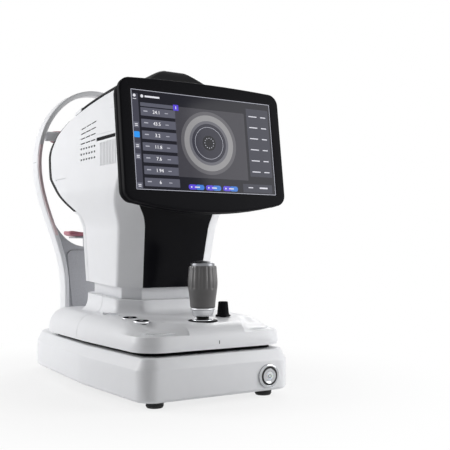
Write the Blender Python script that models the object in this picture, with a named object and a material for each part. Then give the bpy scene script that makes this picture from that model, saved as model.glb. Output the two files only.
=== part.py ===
"""Table-top eye measuring instrument: base, cross-slide stage, measuring head, monitor and headrest.

Metres, +Z up. The operator sits at -Y and the patient at +Y. The origin is on the table, under the
middle of the base.
"""

import math

import bmesh
import bpy
from mathutils import Matrix, Vector

MM = 0.001

# Gaps between pieces
SEAT = 0.3 * MM
RUN = 0.6 * MM

# Base housing
BASE_DEPTH = 475 * MM
BASE_HEIGHT = 56 * MM
BASE_LEDGE = 4 * MM
BASE_REAR_HALF = 100 * MM
BASE_FRONT_DRAW = 4 * MM
BASE_FRONT_RADIUS = 25 * MM
BASE_REAR_RADIUS = 80 * MM
BASE_BAND = 15 * MM
BASE_BAND_SET = 8 * MM
BASE_WALL = 3 * MM
BASE_PLATE = 3 * MM
FOOT_HEIGHT = 10 * MM
FOOT_RADIUS = 12 * MM
FOOT_FRONT = 28 * MM
FOOT_HALF_FRONT = 86 * MM
FOOT_REAR = 46 * MM
FOOT_HALF_REAR = 62 * MM

# Power button and mains inlet
POWER_X = 75 * MM
POWER_RADIUS = 12 * MM
POWER_RIM = 4.5 * MM
POWER_PROUD = 3 * MM
POWER_TRAVEL = 2 * MM
INLET_WIDTH = 27 * MM
INLET_HEIGHT = 20 * MM
INLET_DEPTH = 22 * MM
INLET_WALL = 2 * MM
SUPPLY_WIDTH = 110 * MM
SUPPLY_DEPTH = 90 * MM
SUPPLY_HEIGHT = 36 * MM

# Slide deck, racks and pinions
DECK_THICK = 2.7 * MM
DECK_SET = 13 * MM
RACK_BODY = 3.3 * MM
RACK_WIDTH = 7 * MM
MODULE = 1.2 * MM
PINION_TEETH = 12
TOOTH_PLAY = 0.5 * MM
MESH_PLAY = 0.2 * MM
TOOTH_FLANK = math.radians(20)
AXLE_RADIUS = 4 * MM
TRAVEL_Y = 20 * MM
TRAVEL_X = 40 * MM
CARRIAGE_Y = 205 * MM
CHEEK_HALF = 48 * MM
CHEEK_THICK = 12 * MM
CHEEK_LENGTH = 78 * MM
ROD_SPACING = 56 * MM
ROD_RADIUS = 4 * MM
CROSSBAR = 7 * MM
CROSSBAR_SPACING = 30 * MM

# Stage housing
STAGE_PLATE = 4 * MM
PLATE_SET = 14 * MM
TAB_THICK = 4 * MM
STAGE_ROOM = 14.6 * MM
STAGE_RISE = 4.5 * MM
STAGE_GAP = 2.6 * MM
STAGE_FRONT = 7 * MM
STAGE_WIDEST = 190 * MM
STAGE_REAR = 378 * MM
STAGE_REAR_HALF = 109 * MM
STAGE_FRONT_DRAW = 3 * MM
STAGE_FRONT_RADIUS = 36 * MM
STAGE_REAR_RADIUS = 45 * MM
STAGE_WALL = 3 * MM
STAGE_LIP = 3 * MM
STAGE_SPLIT = 216 * MM
NECK_SET_IN = 40 * MM
NECK_FLARE = 12 * MM
NECK_HEIGHT = 21.5 * MM

# Joystick, lock knob and chinrest buttons
JOY_Y = 50 * MM
JOY_DROP = 8 * MM
JOY_BALL = 10 * MM
JOY_TAIL = 4 * MM
GIMBAL_HEIGHT = 3.6 * MM
GIMBAL_WALL = 2.5 * MM
JOY_FOOT = 6 * MM
JOY_COLLAR = 20.5 * MM
JOY_MOUTH = 12.5 * MM
JOY_PROUD = 1 * MM
JOY_COLLAR_HEIGHT = 3.5 * MM
JOY_LIFT = 5.5 * MM
FERRULE_LOW = 13.5 * MM
FERRULE_HIGH = 17 * MM
FERRULE_HEIGHT = 11 * MM
GRIP_LOW = 17.5 * MM
GRIP_MAX = 20.7 * MM
GRIP_TOP = 19.3 * MM
GRIP_HEIGHT = 57.5 * MM
GROOVE_PITCH = 6.8 * MM
GROOVE_DEEP = 0.7 * MM
CAP_HEIGHT = 7 * MM
CAP_TRAVEL = 2 * MM
CAP_RIM = 3 * MM
CAP_SKIRT = 3 * MM
LOCK_X = 50 * MM
LOCK_Y = 76 * MM
LOCK_RADIUS = 8.5 * MM
LOCK_PROUD = 0.9 * MM
LOCK_HEIGHT = 21 * MM
LOCK_STEM = 4 * MM
LOCK_SKIRT = 2.5 * MM
LOCK_DRAW = 1.5 * MM
BUTTON_X = 80 * MM
BUTTON_Y = 94 * MM
BUTTON_SPACING = 36 * MM
BUTTON_RADIUS = 9.5 * MM
BUTTON_PROUD = 1.4 * MM
BUTTON_TRAVEL = 1.2 * MM

# Lift of the head
LIFT_TRAVEL = 32 * MM
POST_X = 38 * MM
POST_IN = 47 * MM
POST_RADIUS = 6 * MM
LIFT_FOOT = 5 * MM
BUSH_WALL = 4 * MM
BUSH_LENGTH = 60 * MM
SCREW_RADIUS = 4 * MM
SCREW_FLANGE = 3 * MM
SCREW_SHORT = 10 * MM
MOTOR_WIDTH = 42 * MM
MOTOR_HEIGHT = 32 * MM
SLEEVE_SET = 10 * MM
SLEEVE_WALL = 2.4 * MM
SLEEVE_LAP = 12 * MM

# Column and head
COLUMN_GAP = 18.2 * MM
FOOT_RISE = 5 * MM
COLUMN_HALF = 77 * MM
COLUMN_TAPER = 6 * MM
COLUMN_FRONT = 163.5 * MM
COLUMN_REAR = 287 * MM
COLUMN_LEAN = 20 * MM
COLUMN_CORNER = 14 * MM
CHAMFER_WIDE = 29.5 * MM
CHAMFER_DEEP = 26 * MM
COLUMN_HEIGHT = 100 * MM
BELLY_HEIGHT = 65 * MM
HEAD_HALF = 99 * MM
HEAD_FRONT = 107 * MM
HEAD_REAR = 376 * MM
FACE_HEIGHT = 202 * MM
TOP_FRONT = 280 * MM
TOP_REAR = 255 * MM
TOP_REAR_DRAW = 70 * MM
TOP_SIDE_DRAW = 7 * MM
TOP_RIM = 4.5 * MM
ROOF_SLOPE = 0.27
ROOF_PEAK = 0.18
HUMP = 9.5 * MM
HUMP_IN = 26 * MM
HUMP_FLANK = 48 * MM
HEAD_WALL = 3 * MM
SHELL_CORNER = 10 * MM
PATIENT_RIM = 9 * MM
RIM_WIDE = 14 * MM
RIM_DEEP = 6 * MM

# Optics
TUBE_RADIUS = 24 * MM
TUBE_LENGTH = 150 * MM
WINDOW_RADIUS = 31 * MM
WINDOW_PROUD = 2 * MM
LENS_RADIUS = 19 * MM
LENS_SINK = 3.2 * MM
LENS_BULGE = 1.3 * MM
SHELF_THICK = 5 * MM
SHELF_DROP = 20 * MM
SHELF_REACH = 30 * MM
CHASSIS_SIDE = 8 * MM
CHASSIS_DEEP = 20 * MM
SADDLE_SPACING = 80 * MM
SADDLE_WIDTH = 12 * MM

# Monitor
SCREEN_WIDTH = 222 * MM
SCREEN_HEIGHT = 133 * MM
SCREEN_Y = 39 * MM
SCREEN_Z = 347 * MM
SCREEN_TILT = math.radians(7.5)
BEZEL_SIDE = 16 * MM
BEZEL_TOP = 12 * MM
BEZEL_BOTTOM = 15 * MM
BEZEL_BOW = 12 * MM
BEZEL_TOP_BOW = 3 * MM
BEZEL_RADIUS = 16 * MM
BEZEL_DEPTH = 8 * MM
SCREEN_SINK = 0.6 * MM
BACK_DEPTH = 19 * MM
BACK_WALL = 2.5 * MM
HINGE_REACH = 21 * MM
HINGE_DROP = 8 * MM
PIN_RADIUS = 3 * MM
KNUCKLE_RADIUS = 7.5 * MM
KNUCKLE_HALF = 20 * MM
LUG_THICK = 7 * MM
ARM_PLATE = 6 * MM
ARM_RISE = 24 * MM
ARM_MARGIN = 8 * MM
KNUCKLE_FOOT = 3 * MM
KNUCKLE_FOOT_SIDE = 14 * MM
KNUCKLE_FOOT_RISE = 20 * MM

# Headrest
REST_Y = 405 * MM
REST_DEPTH = 25 * MM
REST_HALF = 107 * MM
REST_RISE = 130 * MM
REST_LEG_HALF = 58 * MM
REST_TAPER = 213 * MM
REST_BAND = 8 * MM
EYE_ABOVE_COLUMN = 200 * MM
DISH_DROP = 142 * MM
DISH_RISE = 40 * MM
PANEL_RECESS = 4 * MM
COVER_THICK = 2.2 * MM
COVER_FOOT = 36 * MM
COVER_MARGIN = 5 * MM
COVER_RADIUS = 10 * MM
BAR_LIFT = 46 * MM
BAR_HEIGHT = 16 * MM
BAR_DEPTH = 7 * MM
BAR_BOW = 12 * MM
PAD_THICK = 6 * MM
PAD_SIDE = 8 * MM
PAD_OVER = 3 * MM
TRIM_WIDTH = 5 * MM
TRIM_THICK = 2 * MM

# Chinrest
CHIN_DROP = 110 * MM
CHIN_HALF = 37 * MM
CHIN_DEPTH = 36 * MM
CHIN_THICK = 13 * MM
CHIN_DIP = 5 * MM
CHIN_TRAVEL = 30 * MM
RAIL_WIDTH = 18 * MM
RAIL_THICK = 4 * MM
SLIDER_HEIGHT = 34 * MM
SLIDER_DROP = 52 * MM
SLIDER_CHEEK = 5 * MM
SLIDER_DEPTH = 12 * MM
CHIN_ARM = 7 * MM
CHIN_TRAY = 3 * MM


POWER_OUT = POWER_PROUD + POWER_TRAVEL / 2


def back(distance):
    """Y of a place this far behind the front face of the base; the whole object is centred on Y."""
    return distance - (BASE_DEPTH - POWER_OUT) / 2


# Heights that follow from the stack of pieces
BASE_FLOOR = FOOT_HEIGHT + SEAT
BASE_TOP = BASE_FLOOR + BASE_HEIGHT
DECK_TOP = BASE_TOP + SEAT + DECK_THICK
PITCH_RADIUS = MODULE * PINION_TEETH / 2
RACK_TOP = DECK_TOP + SEAT + RACK_BODY + 2.25 * MODULE
AXLE_Z = RACK_TOP - MODULE + PITCH_RADIUS + MESH_PLAY
PLATE_Z = AXLE_Z + PITCH_RADIUS + MODULE + 2 * RUN
PLATE_TOP = PLATE_Z + STAGE_PLATE
STAGE_FLOOR = DECK_TOP + STAGE_GAP
STAGE_TOP = PLATE_TOP + STAGE_ROOM
NECK_TOP = STAGE_TOP + NECK_HEIGHT
COLUMN_Z = NECK_TOP + COLUMN_GAP
EYE_Z = COLUMN_Z + EYE_ABOVE_COLUMN

# Plan sizes that follow from the column's width
STAGE_HALF = COLUMN_HALF + NECK_SET_IN
BASE_HALF = STAGE_HALF + BASE_LEDGE
SHOULDER = NECK_SET_IN - NECK_FLARE
POST_Y = COLUMN_REAR - POST_IN


def stage_height(distance):
    """Height of the stage's top, which climbs from its front edge to the foot of the neck."""
    start = STAGE_FRONT + SHOULDER
    end = COLUMN_FRONT - CHAMFER_DEEP - NECK_FLARE
    share = (distance - start) / (end - start)
    return STAGE_TOP - STAGE_RISE * (1 - min(1, max(0, share)))


JOY_TOP = stage_height(JOY_Y) + JOY_PROUD
JOY_Z = JOY_TOP - JOY_DROP


# Shape helpers

def ease(t):
    """Smooth step from 0 to 1."""
    t = min(1.0, max(0.0, t))
    return t * t * (3 - 2 * t)


def mix(a, b, t):
    return a + (b - a) * t


def mirrored(half):
    """Corners (x, y, radius) of the +X side, front to rear, completed with their mirror images."""
    return half + [(-x, y, radius) for x, y, radius in reversed(half)]


def inset(corners, distance):
    """Corners of the same outline moved inwards; a negative distance moves them out."""
    moved = []
    for i, (x, y, radius) in enumerate(corners):
        here = Vector((x, y))
        into = (here - Vector(corners[i - 1][:2])).normalized()
        out = (Vector(corners[(i + 1) % len(corners)][:2]) - here).normalized()
        left_in = Vector((-into.y, into.x))
        left_out = Vector((-out.y, out.x))
        shift = (left_in + left_out) * distance / (1 + left_in.dot(left_out))
        moved.append((x + shift.x, y + shift.y, max(radius - distance, MM)))
    return moved


def rounded(corners, steps=3):
    """Outline with an arc at every corner that has a radius."""
    outline = []
    for i, (x, y, radius) in enumerate(corners):
        here = Vector((x, y))
        if radius == 0:
            outline.append(here)
            continue
        to_last = (Vector(corners[i - 1][:2]) - here).normalized()
        to_next = (Vector(corners[(i + 1) % len(corners)][:2]) - here).normalized()
        half = to_last.angle(to_next) / 2
        centre = here + (to_last + to_next).normalized() * radius / math.sin(half)
        first = here + to_last * radius / math.tan(half) - centre
        turn = first.angle_signed(here + to_next * radius / math.tan(half) - centre)
        for k in range(steps + 1):
            outline.append(centre + Matrix.Rotation(-turn * k / steps, 2) @ first)
    return outline


def ring(corners, z, steps=3):
    """Rounded outline as points at one height."""
    return [Vector((p.x, p.y, z)) for p in rounded(corners, steps)]


def join(bm, low, high):
    """Band of quads between two loops of points."""
    for i in range(len(low)):
        bm.faces.new((low[i - 1], low[i], high[i], high[i - 1]))


def skin(bm, rings):
    loops = [[bm.verts.new(p) for p in points] for points in rings]
    for low, high in zip(loops, loops[1:]):
        join(bm, low, high)
    return loops


def closed(bm):
    bmesh.ops.remove_doubles(bm, verts=bm.verts, dist=1e-6)
    bmesh.ops.recalc_face_normals(bm, faces=bm.faces)
    return bm


def loft(rings):
    """Solid through a row of outlines, capped at both ends."""
    bm = bmesh.new()
    loops = skin(bm, rings)
    bm.faces.new(loops[0])
    bm.faces.new(loops[-1])
    return closed(bm)


def cup(outer, inner):
    """Shell that is open at its first outline and closed at its last."""
    bm = bmesh.new()
    out_loops = skin(bm, outer)
    in_loops = skin(bm, inner)
    join(bm, out_loops[0], in_loops[0])
    bm.faces.new(out_loops[-1])
    bm.faces.new(in_loops[-1])
    return closed(bm)


def sleeve(outer, inner):
    """Shell that is open at both ends."""
    bm = bmesh.new()
    out_loops = skin(bm, outer)
    in_loops = skin(bm, inner)
    join(bm, out_loops[0], in_loops[0])
    join(bm, out_loops[-1], in_loops[-1])
    return closed(bm)


def turned(profile, segments=20, ring_shape=False):
    """Profile of (radius, height) points spun round Z; a ring shape's profile is a closed loop."""
    bm = bmesh.new()
    points = [bm.verts.new((radius, 0, height)) for radius, height in profile]
    edges = [bm.edges.new(pair) for pair in zip(points, points[1:])]
    if ring_shape:
        edges.append(bm.edges.new((points[-1], points[0])))
    bmesh.ops.spin(bm, geom=points + edges, cent=(0, 0, 0), axis=(0, 0, 1), angle=2 * math.pi,
                   steps=segments, use_merge=True)
    return closed(bm)


def round_bar(radius, length, segments=20):
    """Cylinder on Z, standing on the origin."""
    bm = bmesh.new()
    bmesh.ops.create_cone(bm, cap_ends=True, segments=segments, radius1=radius, radius2=radius,
                          depth=length, matrix=Matrix.Translation((0, 0, length / 2)))
    return bm


def block(low, high, bevel=0.0):
    """Box between two corners, with its edges broken where a bevel is given."""
    low = Vector(low)
    high = Vector(high)
    bm = bmesh.new()
    size = high - low
    bmesh.ops.create_cube(bm, size=1, matrix=Matrix.Translation((low + high) / 2) @ Matrix.Diagonal(
        (size.x, size.y, size.z, 1)))
    if bevel:
        bmesh.ops.bevel(bm, geom=bm.edges[:], offset=bevel, segments=1, profile=0.5, affect="EDGES",
                        material=-1)
    return bm


def prism(outline, start, end):
    """Flat outline in XZ carried along Y from start to end."""
    return loft([[Vector((x, y, z)) for x, z in outline] for y in (start, end)])


def along_y(bm, x, y, z):
    """Turn a shape that stands on Z so that it points to -Y, with its foot at a place."""
    bm.transform(Matrix.Translation((x, y, z)) @ Matrix.Rotation(math.radians(90), 4, "X"))
    return bm


def along_x(bm, x, y, z):
    """Turn a shape that stands on Z so that it points to +X, with its foot at a place."""
    bm.transform(Matrix.Translation((x, y, z)) @ Matrix.Rotation(math.radians(90), 4, "Y"))
    return bm


def at(bm, x, y, z):
    bm.transform(Matrix.Translation((x, y, z)))
    return bm


# Objects and finishes

def finish(name, colour, roughness, metallic=0.0):
    """Principled material; the colour is linear red, green and blue."""
    material = bpy.data.materials.new(name)
    material.use_nodes = True
    shader = material.node_tree.nodes["Principled BSDF"]
    shader.inputs["Base Color"].default_value = (*colour, 1)
    shader.inputs["Roughness"].default_value = roughness
    shader.inputs["Metallic"].default_value = metallic
    return material


def pivot(name, x, y, z):
    """Empty on a joint's axis, which carries the pieces that move with it."""
    empty = bpy.data.objects.new(name, None)
    empty.empty_display_size = 10 * MM
    empty.location = (x, y, z)
    bpy.context.collection.objects.link(empty)
    return empty


def put(name, bm, material, parent=None):
    """Named object from a shape in world coordinates."""
    if parent:
        bm.transform(Matrix.Translation(-parent.location))
    mesh = bpy.data.meshes.new(name)
    bm.to_mesh(mesh)
    bm.free()
    mesh.materials.append(material)
    mesh.shade_smooth()
    mesh.set_sharp_from_angle(angle=math.radians(35))
    piece = bpy.data.objects.new(name, mesh)
    piece.parent = parent
    bpy.context.collection.objects.link(piece)
    return piece


def carve(piece, tool, operation="DIFFERENCE"):
    """Cut, join or trim a piece with another shape."""
    mesh = bpy.data.meshes.new("tool")
    tool.to_mesh(mesh)
    tool.free()
    cutter = bpy.data.objects.new("tool", mesh)
    bpy.context.collection.objects.link(cutter)
    change = piece.modifiers.new("carve", "BOOLEAN")
    change.operation = operation
    change.solver = "EXACT"
    change.object = cutter
    graph = bpy.context.evaluated_depsgraph_get()
    result = bpy.data.meshes.new_from_object(piece.evaluated_get(graph))
    piece.modifiers.clear()
    old = piece.data
    piece.data = result
    result.name = piece.name
    bpy.data.meshes.remove(old)
    bpy.data.objects.remove(cutter)
    bpy.data.meshes.remove(mesh)


# Plan outlines

def base_corners(distance=0.0):
    return inset(mirrored([
        (BASE_HALF - BASE_FRONT_DRAW, back(0), BASE_FRONT_RADIUS),
        (BASE_HALF, back(STAGE_WIDEST), BASE_DEPTH / 2),
        (BASE_REAR_HALF, back(BASE_DEPTH), BASE_REAR_RADIUS)]), distance)


def stage_corners(distance=0.0):
    return inset(mirrored([
        (STAGE_HALF - STAGE_FRONT_DRAW, back(STAGE_FRONT), STAGE_FRONT_RADIUS),
        (STAGE_HALF, back(STAGE_WIDEST), STAGE_REAR / 2),
        (STAGE_REAR_HALF, back(STAGE_REAR), STAGE_REAR_RADIUS)]), distance)


def column_corners(distance=0.0):
    """Foot of the column: a box with wide chamfers at its front corners."""
    return inset(mirrored([
        (COLUMN_HALF - CHAMFER_WIDE, back(COLUMN_FRONT - CHAMFER_DEEP), COLUMN_CORNER),
        (COLUMN_HALF, back(COLUMN_FRONT), COLUMN_CORNER),
        (COLUMN_HALF - COLUMN_TAPER, back(COLUMN_REAR), COLUMN_CORNER)]), distance)


def sloped(points, rise):
    """Outline of the column tipped up towards the rear."""
    front = back(COLUMN_FRONT)
    rear = back(COLUMN_REAR)
    return [p + Vector((0, 0, rise * (p.y - front) / (rear - front))) for p in points]


# Base and what is fixed to it

def make_base(white, steel, rubber, black, chrome):
    edge = BASE_WALL
    outer = [ring(base_corners(edge), BASE_FLOOR),
             ring(base_corners(), BASE_FLOOR + edge),
             ring(base_corners(), BASE_TOP - BASE_BAND),
             ring(base_corners(BASE_BAND_SET - 2 * MM), BASE_TOP - 2 * MM),
             ring(base_corners(BASE_BAND_SET), BASE_TOP)]
    inner = [ring(base_corners(2 * edge), BASE_FLOOR),
             ring(base_corners(2 * edge), BASE_TOP - BASE_BAND - edge),
             ring(base_corners(BASE_BAND_SET + 2 * edge), BASE_TOP - BASE_WALL)]
    shell = put("base_shell", cup(outer, inner), white)
    power_z = BASE_FLOOR + (BASE_HEIGHT - BASE_BAND) / 2
    through = 3 * BASE_WALL
    carve(shell, along_y(round_bar(POWER_RADIUS + POWER_RIM / 2 + SEAT, 2 * through),
                         POWER_X, back(through), power_z))
    inlet_z = power_z
    half = INLET_WIDTH / 2 + SEAT
    rise = INLET_HEIGHT / 2 + SEAT
    carve(shell, block((-half, back(BASE_DEPTH - 2 * through), inlet_z - rise),
                       (half, back(BASE_DEPTH + through), inlet_z + rise)))

    plate = [ring(base_corners(2 * edge + SEAT), z) for z in (BASE_FLOOR, BASE_FLOOR + BASE_PLATE)]
    put("base_plate", loft(plate), steel)

    for end, x, y in (("front", FOOT_HALF_FRONT, FOOT_FRONT), ("rear", FOOT_HALF_REAR, BASE_DEPTH - FOOT_REAR)):
        for hand, side in (("left", -1), ("right", 1)):
            foot = turned([(0, FOOT_HEIGHT), (FOOT_RADIUS, FOOT_HEIGHT), (FOOT_RADIUS, FOOT_HEIGHT / 2),
                           (FOOT_RADIUS - 2 * MM, 0), (0, 0)])
            put("foot_" + end + "_" + hand, at(foot, side * x, back(y), 0), rubber)

    deck = [ring(stage_corners(DECK_SET), z) for z in (BASE_TOP + SEAT, DECK_TOP)]
    put("slide_deck", loft(deck), black)

    make_power_button(power_z, white, chrome)
    make_mains_inlet(inlet_z, black)
    half = SUPPLY_WIDTH / 2
    start = back(CARRIAGE_Y)
    floor = BASE_FLOOR + BASE_PLATE + SEAT
    case = block((-half, start, floor), (half, start + SUPPLY_DEPTH, floor + SUPPLY_HEIGHT), 1.5 * MM)
    put("power_supply", case, steel)


def make_power_button(z, white, chrome):
    """Chrome ring through the front wall, with the sprung cap inside it."""
    bore = POWER_RADIUS + SEAT
    neck = POWER_RADIUS + POWER_RIM / 2
    flange = POWER_RADIUS + POWER_RIM
    tail = -2.5 * BASE_WALL
    proud = POWER_PROUD
    profile = [(bore, proud - MM), (bore + MM, proud), (flange - MM, proud), (flange, proud - MM),
               (flange, SEAT), (neck, SEAT), (neck, tail), (bore, tail)]
    put("power_ring", along_y(turned(profile, ring_shape=True), POWER_X, back(0), z), chrome)
    top = POWER_OUT
    cap = [(0, top), (POWER_RADIUS * 0.7, top - 0.3 * MM), (POWER_RADIUS, top - 1.2 * MM),
           (POWER_RADIUS, tail), (0, tail)]
    put("power_button", along_y(turned(cap), POWER_X, back(0), z), white,
        pivot("power_button_slide", POWER_X, back(0), z))


def make_mains_inlet(z, black):
    """Appliance inlet in the rear wall: a box with a deep socket."""
    half = INLET_WIDTH / 2
    rise = INLET_HEIGHT / 2
    rear = back(BASE_DEPTH)
    socket = put("mains_inlet", block((-half, rear - INLET_DEPTH, z - rise), (half, rear, z + rise)), black)
    carve(socket, block((-half + INLET_WALL, rear - INLET_DEPTH + INLET_WALL, z - rise + INLET_WALL),
                        (half - INLET_WALL, rear + INLET_WALL, z + rise - INLET_WALL)))


# Cross slide: racks on the deck, a carriage rolling on them, the stage sliding across the carriage

def tooth_half(reach):
    """Half thickness of a tooth at a distance outside its pitch line."""
    return math.pi * MODULE / 4 - TOOTH_PLAY / 2 - reach * math.tan(TOOTH_FLANK)


def rack_shape(x):
    pitch = math.pi * MODULE
    count = 2 * math.ceil((TRAVEL_Y + 2 * PITCH_RADIUS) / pitch / 2) * 2
    tip = RACK_TOP
    root = RACK_TOP - 2.25 * MODULE
    middle = back(CARRIAGE_Y)
    end = count / 2 * pitch
    outline = [(middle - end, DECK_TOP + SEAT)]
    for k in range(count):
        centre = middle + (k + 0.5 - count / 2) * pitch
        wide = tooth_half(-1.25 * MODULE)
        narrow = tooth_half(MODULE)
        outline += [(centre - wide, root), (centre - narrow, tip)]
        outline += [(centre + narrow, tip), (centre + wide, root)]
    outline.append((middle + end, DECK_TOP + SEAT))
    return loft([[Vector((x + dx, y, z)) for y, z in outline] for dx in (-RACK_WIDTH / 2, RACK_WIDTH / 2)])


def pinion_shape(x):
    root = PITCH_RADIUS - 1.25 * MODULE
    tip = PITCH_RADIUS + MODULE
    corners = ((root, -tooth_half(-1.25 * MODULE)), (tip, -tooth_half(MODULE)),
               (tip, tooth_half(MODULE)), (root, tooth_half(-1.25 * MODULE)))
    outline = []
    for k in range(PINION_TEETH):
        middle = 2 * math.pi * k / PINION_TEETH - math.pi / 2
        for radius, half in corners:
            angle = middle + half / radius
            outline.append((radius * math.cos(angle), radius * math.sin(angle)))
    half = RACK_WIDTH / 2
    bore = [((AXLE_RADIUS + SEAT) * math.cos(a), (AXLE_RADIUS + SEAT) * math.sin(a)) for a in
            [2 * math.pi * k / len(outline) - math.pi / 2 for k in range(len(outline))]]
    y0 = back(CARRIAGE_Y)
    faces = [[[Vector((x + dx, y0 + y, AXLE_Z + z)) for y, z in line] for dx in (-half, half)]
             for line in (outline, bore)]
    return sleeve(*faces)


def make_carriage(steel, aluminium):
    y0 = back(CARRIAGE_Y)
    gear_x = CHEEK_HALF + RUN + RACK_WIDTH / 2
    slide = pivot("carriage_slide", 0, y0, AXLE_Z)
    put("rack_left", rack_shape(-gear_x), steel)
    put("rack_right", rack_shape(gear_x), steel)

    low = RACK_TOP + RUN - 2.25 * MODULE
    high = PLATE_Z - RUN
    inner = CHEEK_HALF - CHEEK_THICK
    frame = put("carriage_frame", block((-CHEEK_HALF, y0 - CHEEK_LENGTH / 2, low),
                                        (CHEEK_HALF, y0 + CHEEK_LENGTH / 2, high), MM), aluminium, slide)
    bars = CROSSBAR_SPACING / 2
    open_rows = ((-CHEEK_LENGTH, -bars - CROSSBAR / 2), (-bars + CROSSBAR / 2, bars - CROSSBAR / 2),
                 (bars + CROSSBAR / 2, CHEEK_LENGTH))
    for start, end in open_rows:
        carve(frame, block((-inner, y0 + start, low - MM), (inner, y0 + end, high + MM)))
    for dy, radius in ((-ROD_SPACING / 2, ROD_RADIUS), (0, AXLE_RADIUS), (ROD_SPACING / 2, ROD_RADIUS)):
        carve(frame, along_x(round_bar(radius + RUN, 3 * CHEEK_HALF), -1.5 * CHEEK_HALF, y0 + dy, AXLE_Z))

    spin = pivot("axle_spin", 0, y0, AXLE_Z)
    half = gear_x + RACK_WIDTH / 2 + 2 * MM
    put("cross_axle", along_x(round_bar(AXLE_RADIUS, 2 * half), -half, y0, AXLE_Z), steel, spin)
    put("pinion_left", pinion_shape(-gear_x), steel, spin)
    put("pinion_right", pinion_shape(gear_x), steel, spin)


def make_stage_inside(white, steel, aluminium, black):
    """Stage plate with its rods, the lift posts, motor and screw, and the sleeve the column rides over."""
    stage = pivot("stage_slide", 0, back(CARRIAGE_Y), AXLE_Z)
    y0 = back(CARRIAGE_Y)
    tab_in = CHEEK_HALF + TRAVEL_X + 2 * MM
    tab_out = tab_in + TAB_THICK
    sheet = [ring(stage_corners(PLATE_SET), z) for z in (PLATE_Z, PLATE_TOP)]
    plate = put("stage_plate", loft(sheet), aluminium, stage)
    far = 2 * BASE_DEPTH
    carve(plate, block((-far, back(COLUMN_REAR), 0), (far, far, far)))
    tab_low = AXLE_Z - ROD_RADIUS - 1.2 * MM
    for side in (-1, 1):
        x_low, x_high = sorted((side * tab_in, side * tab_out))
        for dy in (-ROD_SPACING / 2, ROD_SPACING / 2):
            tab = block((x_low, y0 + dy - 2 * ROD_RADIUS, tab_low),
                        (x_high, y0 + dy + 2 * ROD_RADIUS, PLATE_Z + STAGE_PLATE / 2))
            carve(plate, tab, "UNION")
    for dy in (-ROD_SPACING / 2, ROD_SPACING / 2):
        carve(plate, along_x(round_bar(ROD_RADIUS + SEAT, 3 * tab_out), -1.5 * tab_out, y0 + dy, AXLE_Z))
    hole = JOY_BALL + 4 * MM
    carve(plate, at(round_bar(hole, 4 * STAGE_PLATE), 0, back(JOY_Y), PLATE_Z - STAGE_PLATE))
    for name, dy in (("cross_rod_front", -ROD_SPACING / 2), ("cross_rod_rear", ROD_SPACING / 2)):
        put(name, along_x(round_bar(ROD_RADIUS, 2 * tab_out), -tab_out, y0 + dy, AXLE_Z), steel, stage)

    post_top = COLUMN_Z + LIFT_TRAVEL + SLEEVE_LAP + BUSH_LENGTH / 2
    foot = PLATE_TOP + SEAT
    reach = POST_X + 2 * POST_RADIUS
    deep = 2 * POST_RADIUS
    frame = put("lift_frame", block((-reach, back(POST_Y) - deep, foot),
                                    (reach, back(POST_Y) + deep, foot + LIFT_FOOT), MM), steel, stage)
    for side in (-1, 1):
        post = turned([(0, post_top), (POST_RADIUS - MM, post_top), (POST_RADIUS, post_top - MM),
                       (POST_RADIUS, foot + LIFT_FOOT / 2), (0, foot + LIFT_FOOT / 2)])
        carve(frame, at(post, side * POST_X, back(POST_Y), 0), "UNION")

    half = MOTOR_WIDTH / 2
    motor_low = foot + LIFT_FOOT + SEAT
    put("lift_motor", block((-half, back(POST_Y) - half, motor_low),
                            (half, back(POST_Y) + half, motor_low + MOTOR_HEIGHT), 3 * MM), black, stage)
    screw_foot = motor_low + MOTOR_HEIGHT + SEAT
    screw_top = post_top - SCREW_SHORT
    flange = SCREW_RADIUS + SCREW_FLANGE
    flange_top = screw_foot + SCREW_FLANGE
    screw = turned([(0, screw_top), (SCREW_RADIUS - MM, screw_top), (SCREW_RADIUS, screw_top - MM),
                    (SCREW_RADIUS, flange_top), (flange, flange_top), (flange, screw_foot), (0, screw_foot)])
    spin = pivot("lift_screw_spin", 0, back(POST_Y), screw_foot)
    put("lift_screw", at(screw, 0, back(POST_Y), 0), steel, spin)

    high = COLUMN_Z + LIFT_TRAVEL + SLEEVE_LAP
    tube = [[ring(column_corners(SLEEVE_SET + wall), z) for z in (foot, high)] for wall in (0, SLEEVE_WALL)]
    put("column_sleeve", sleeve(*tube), white, stage)
    return stage


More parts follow.
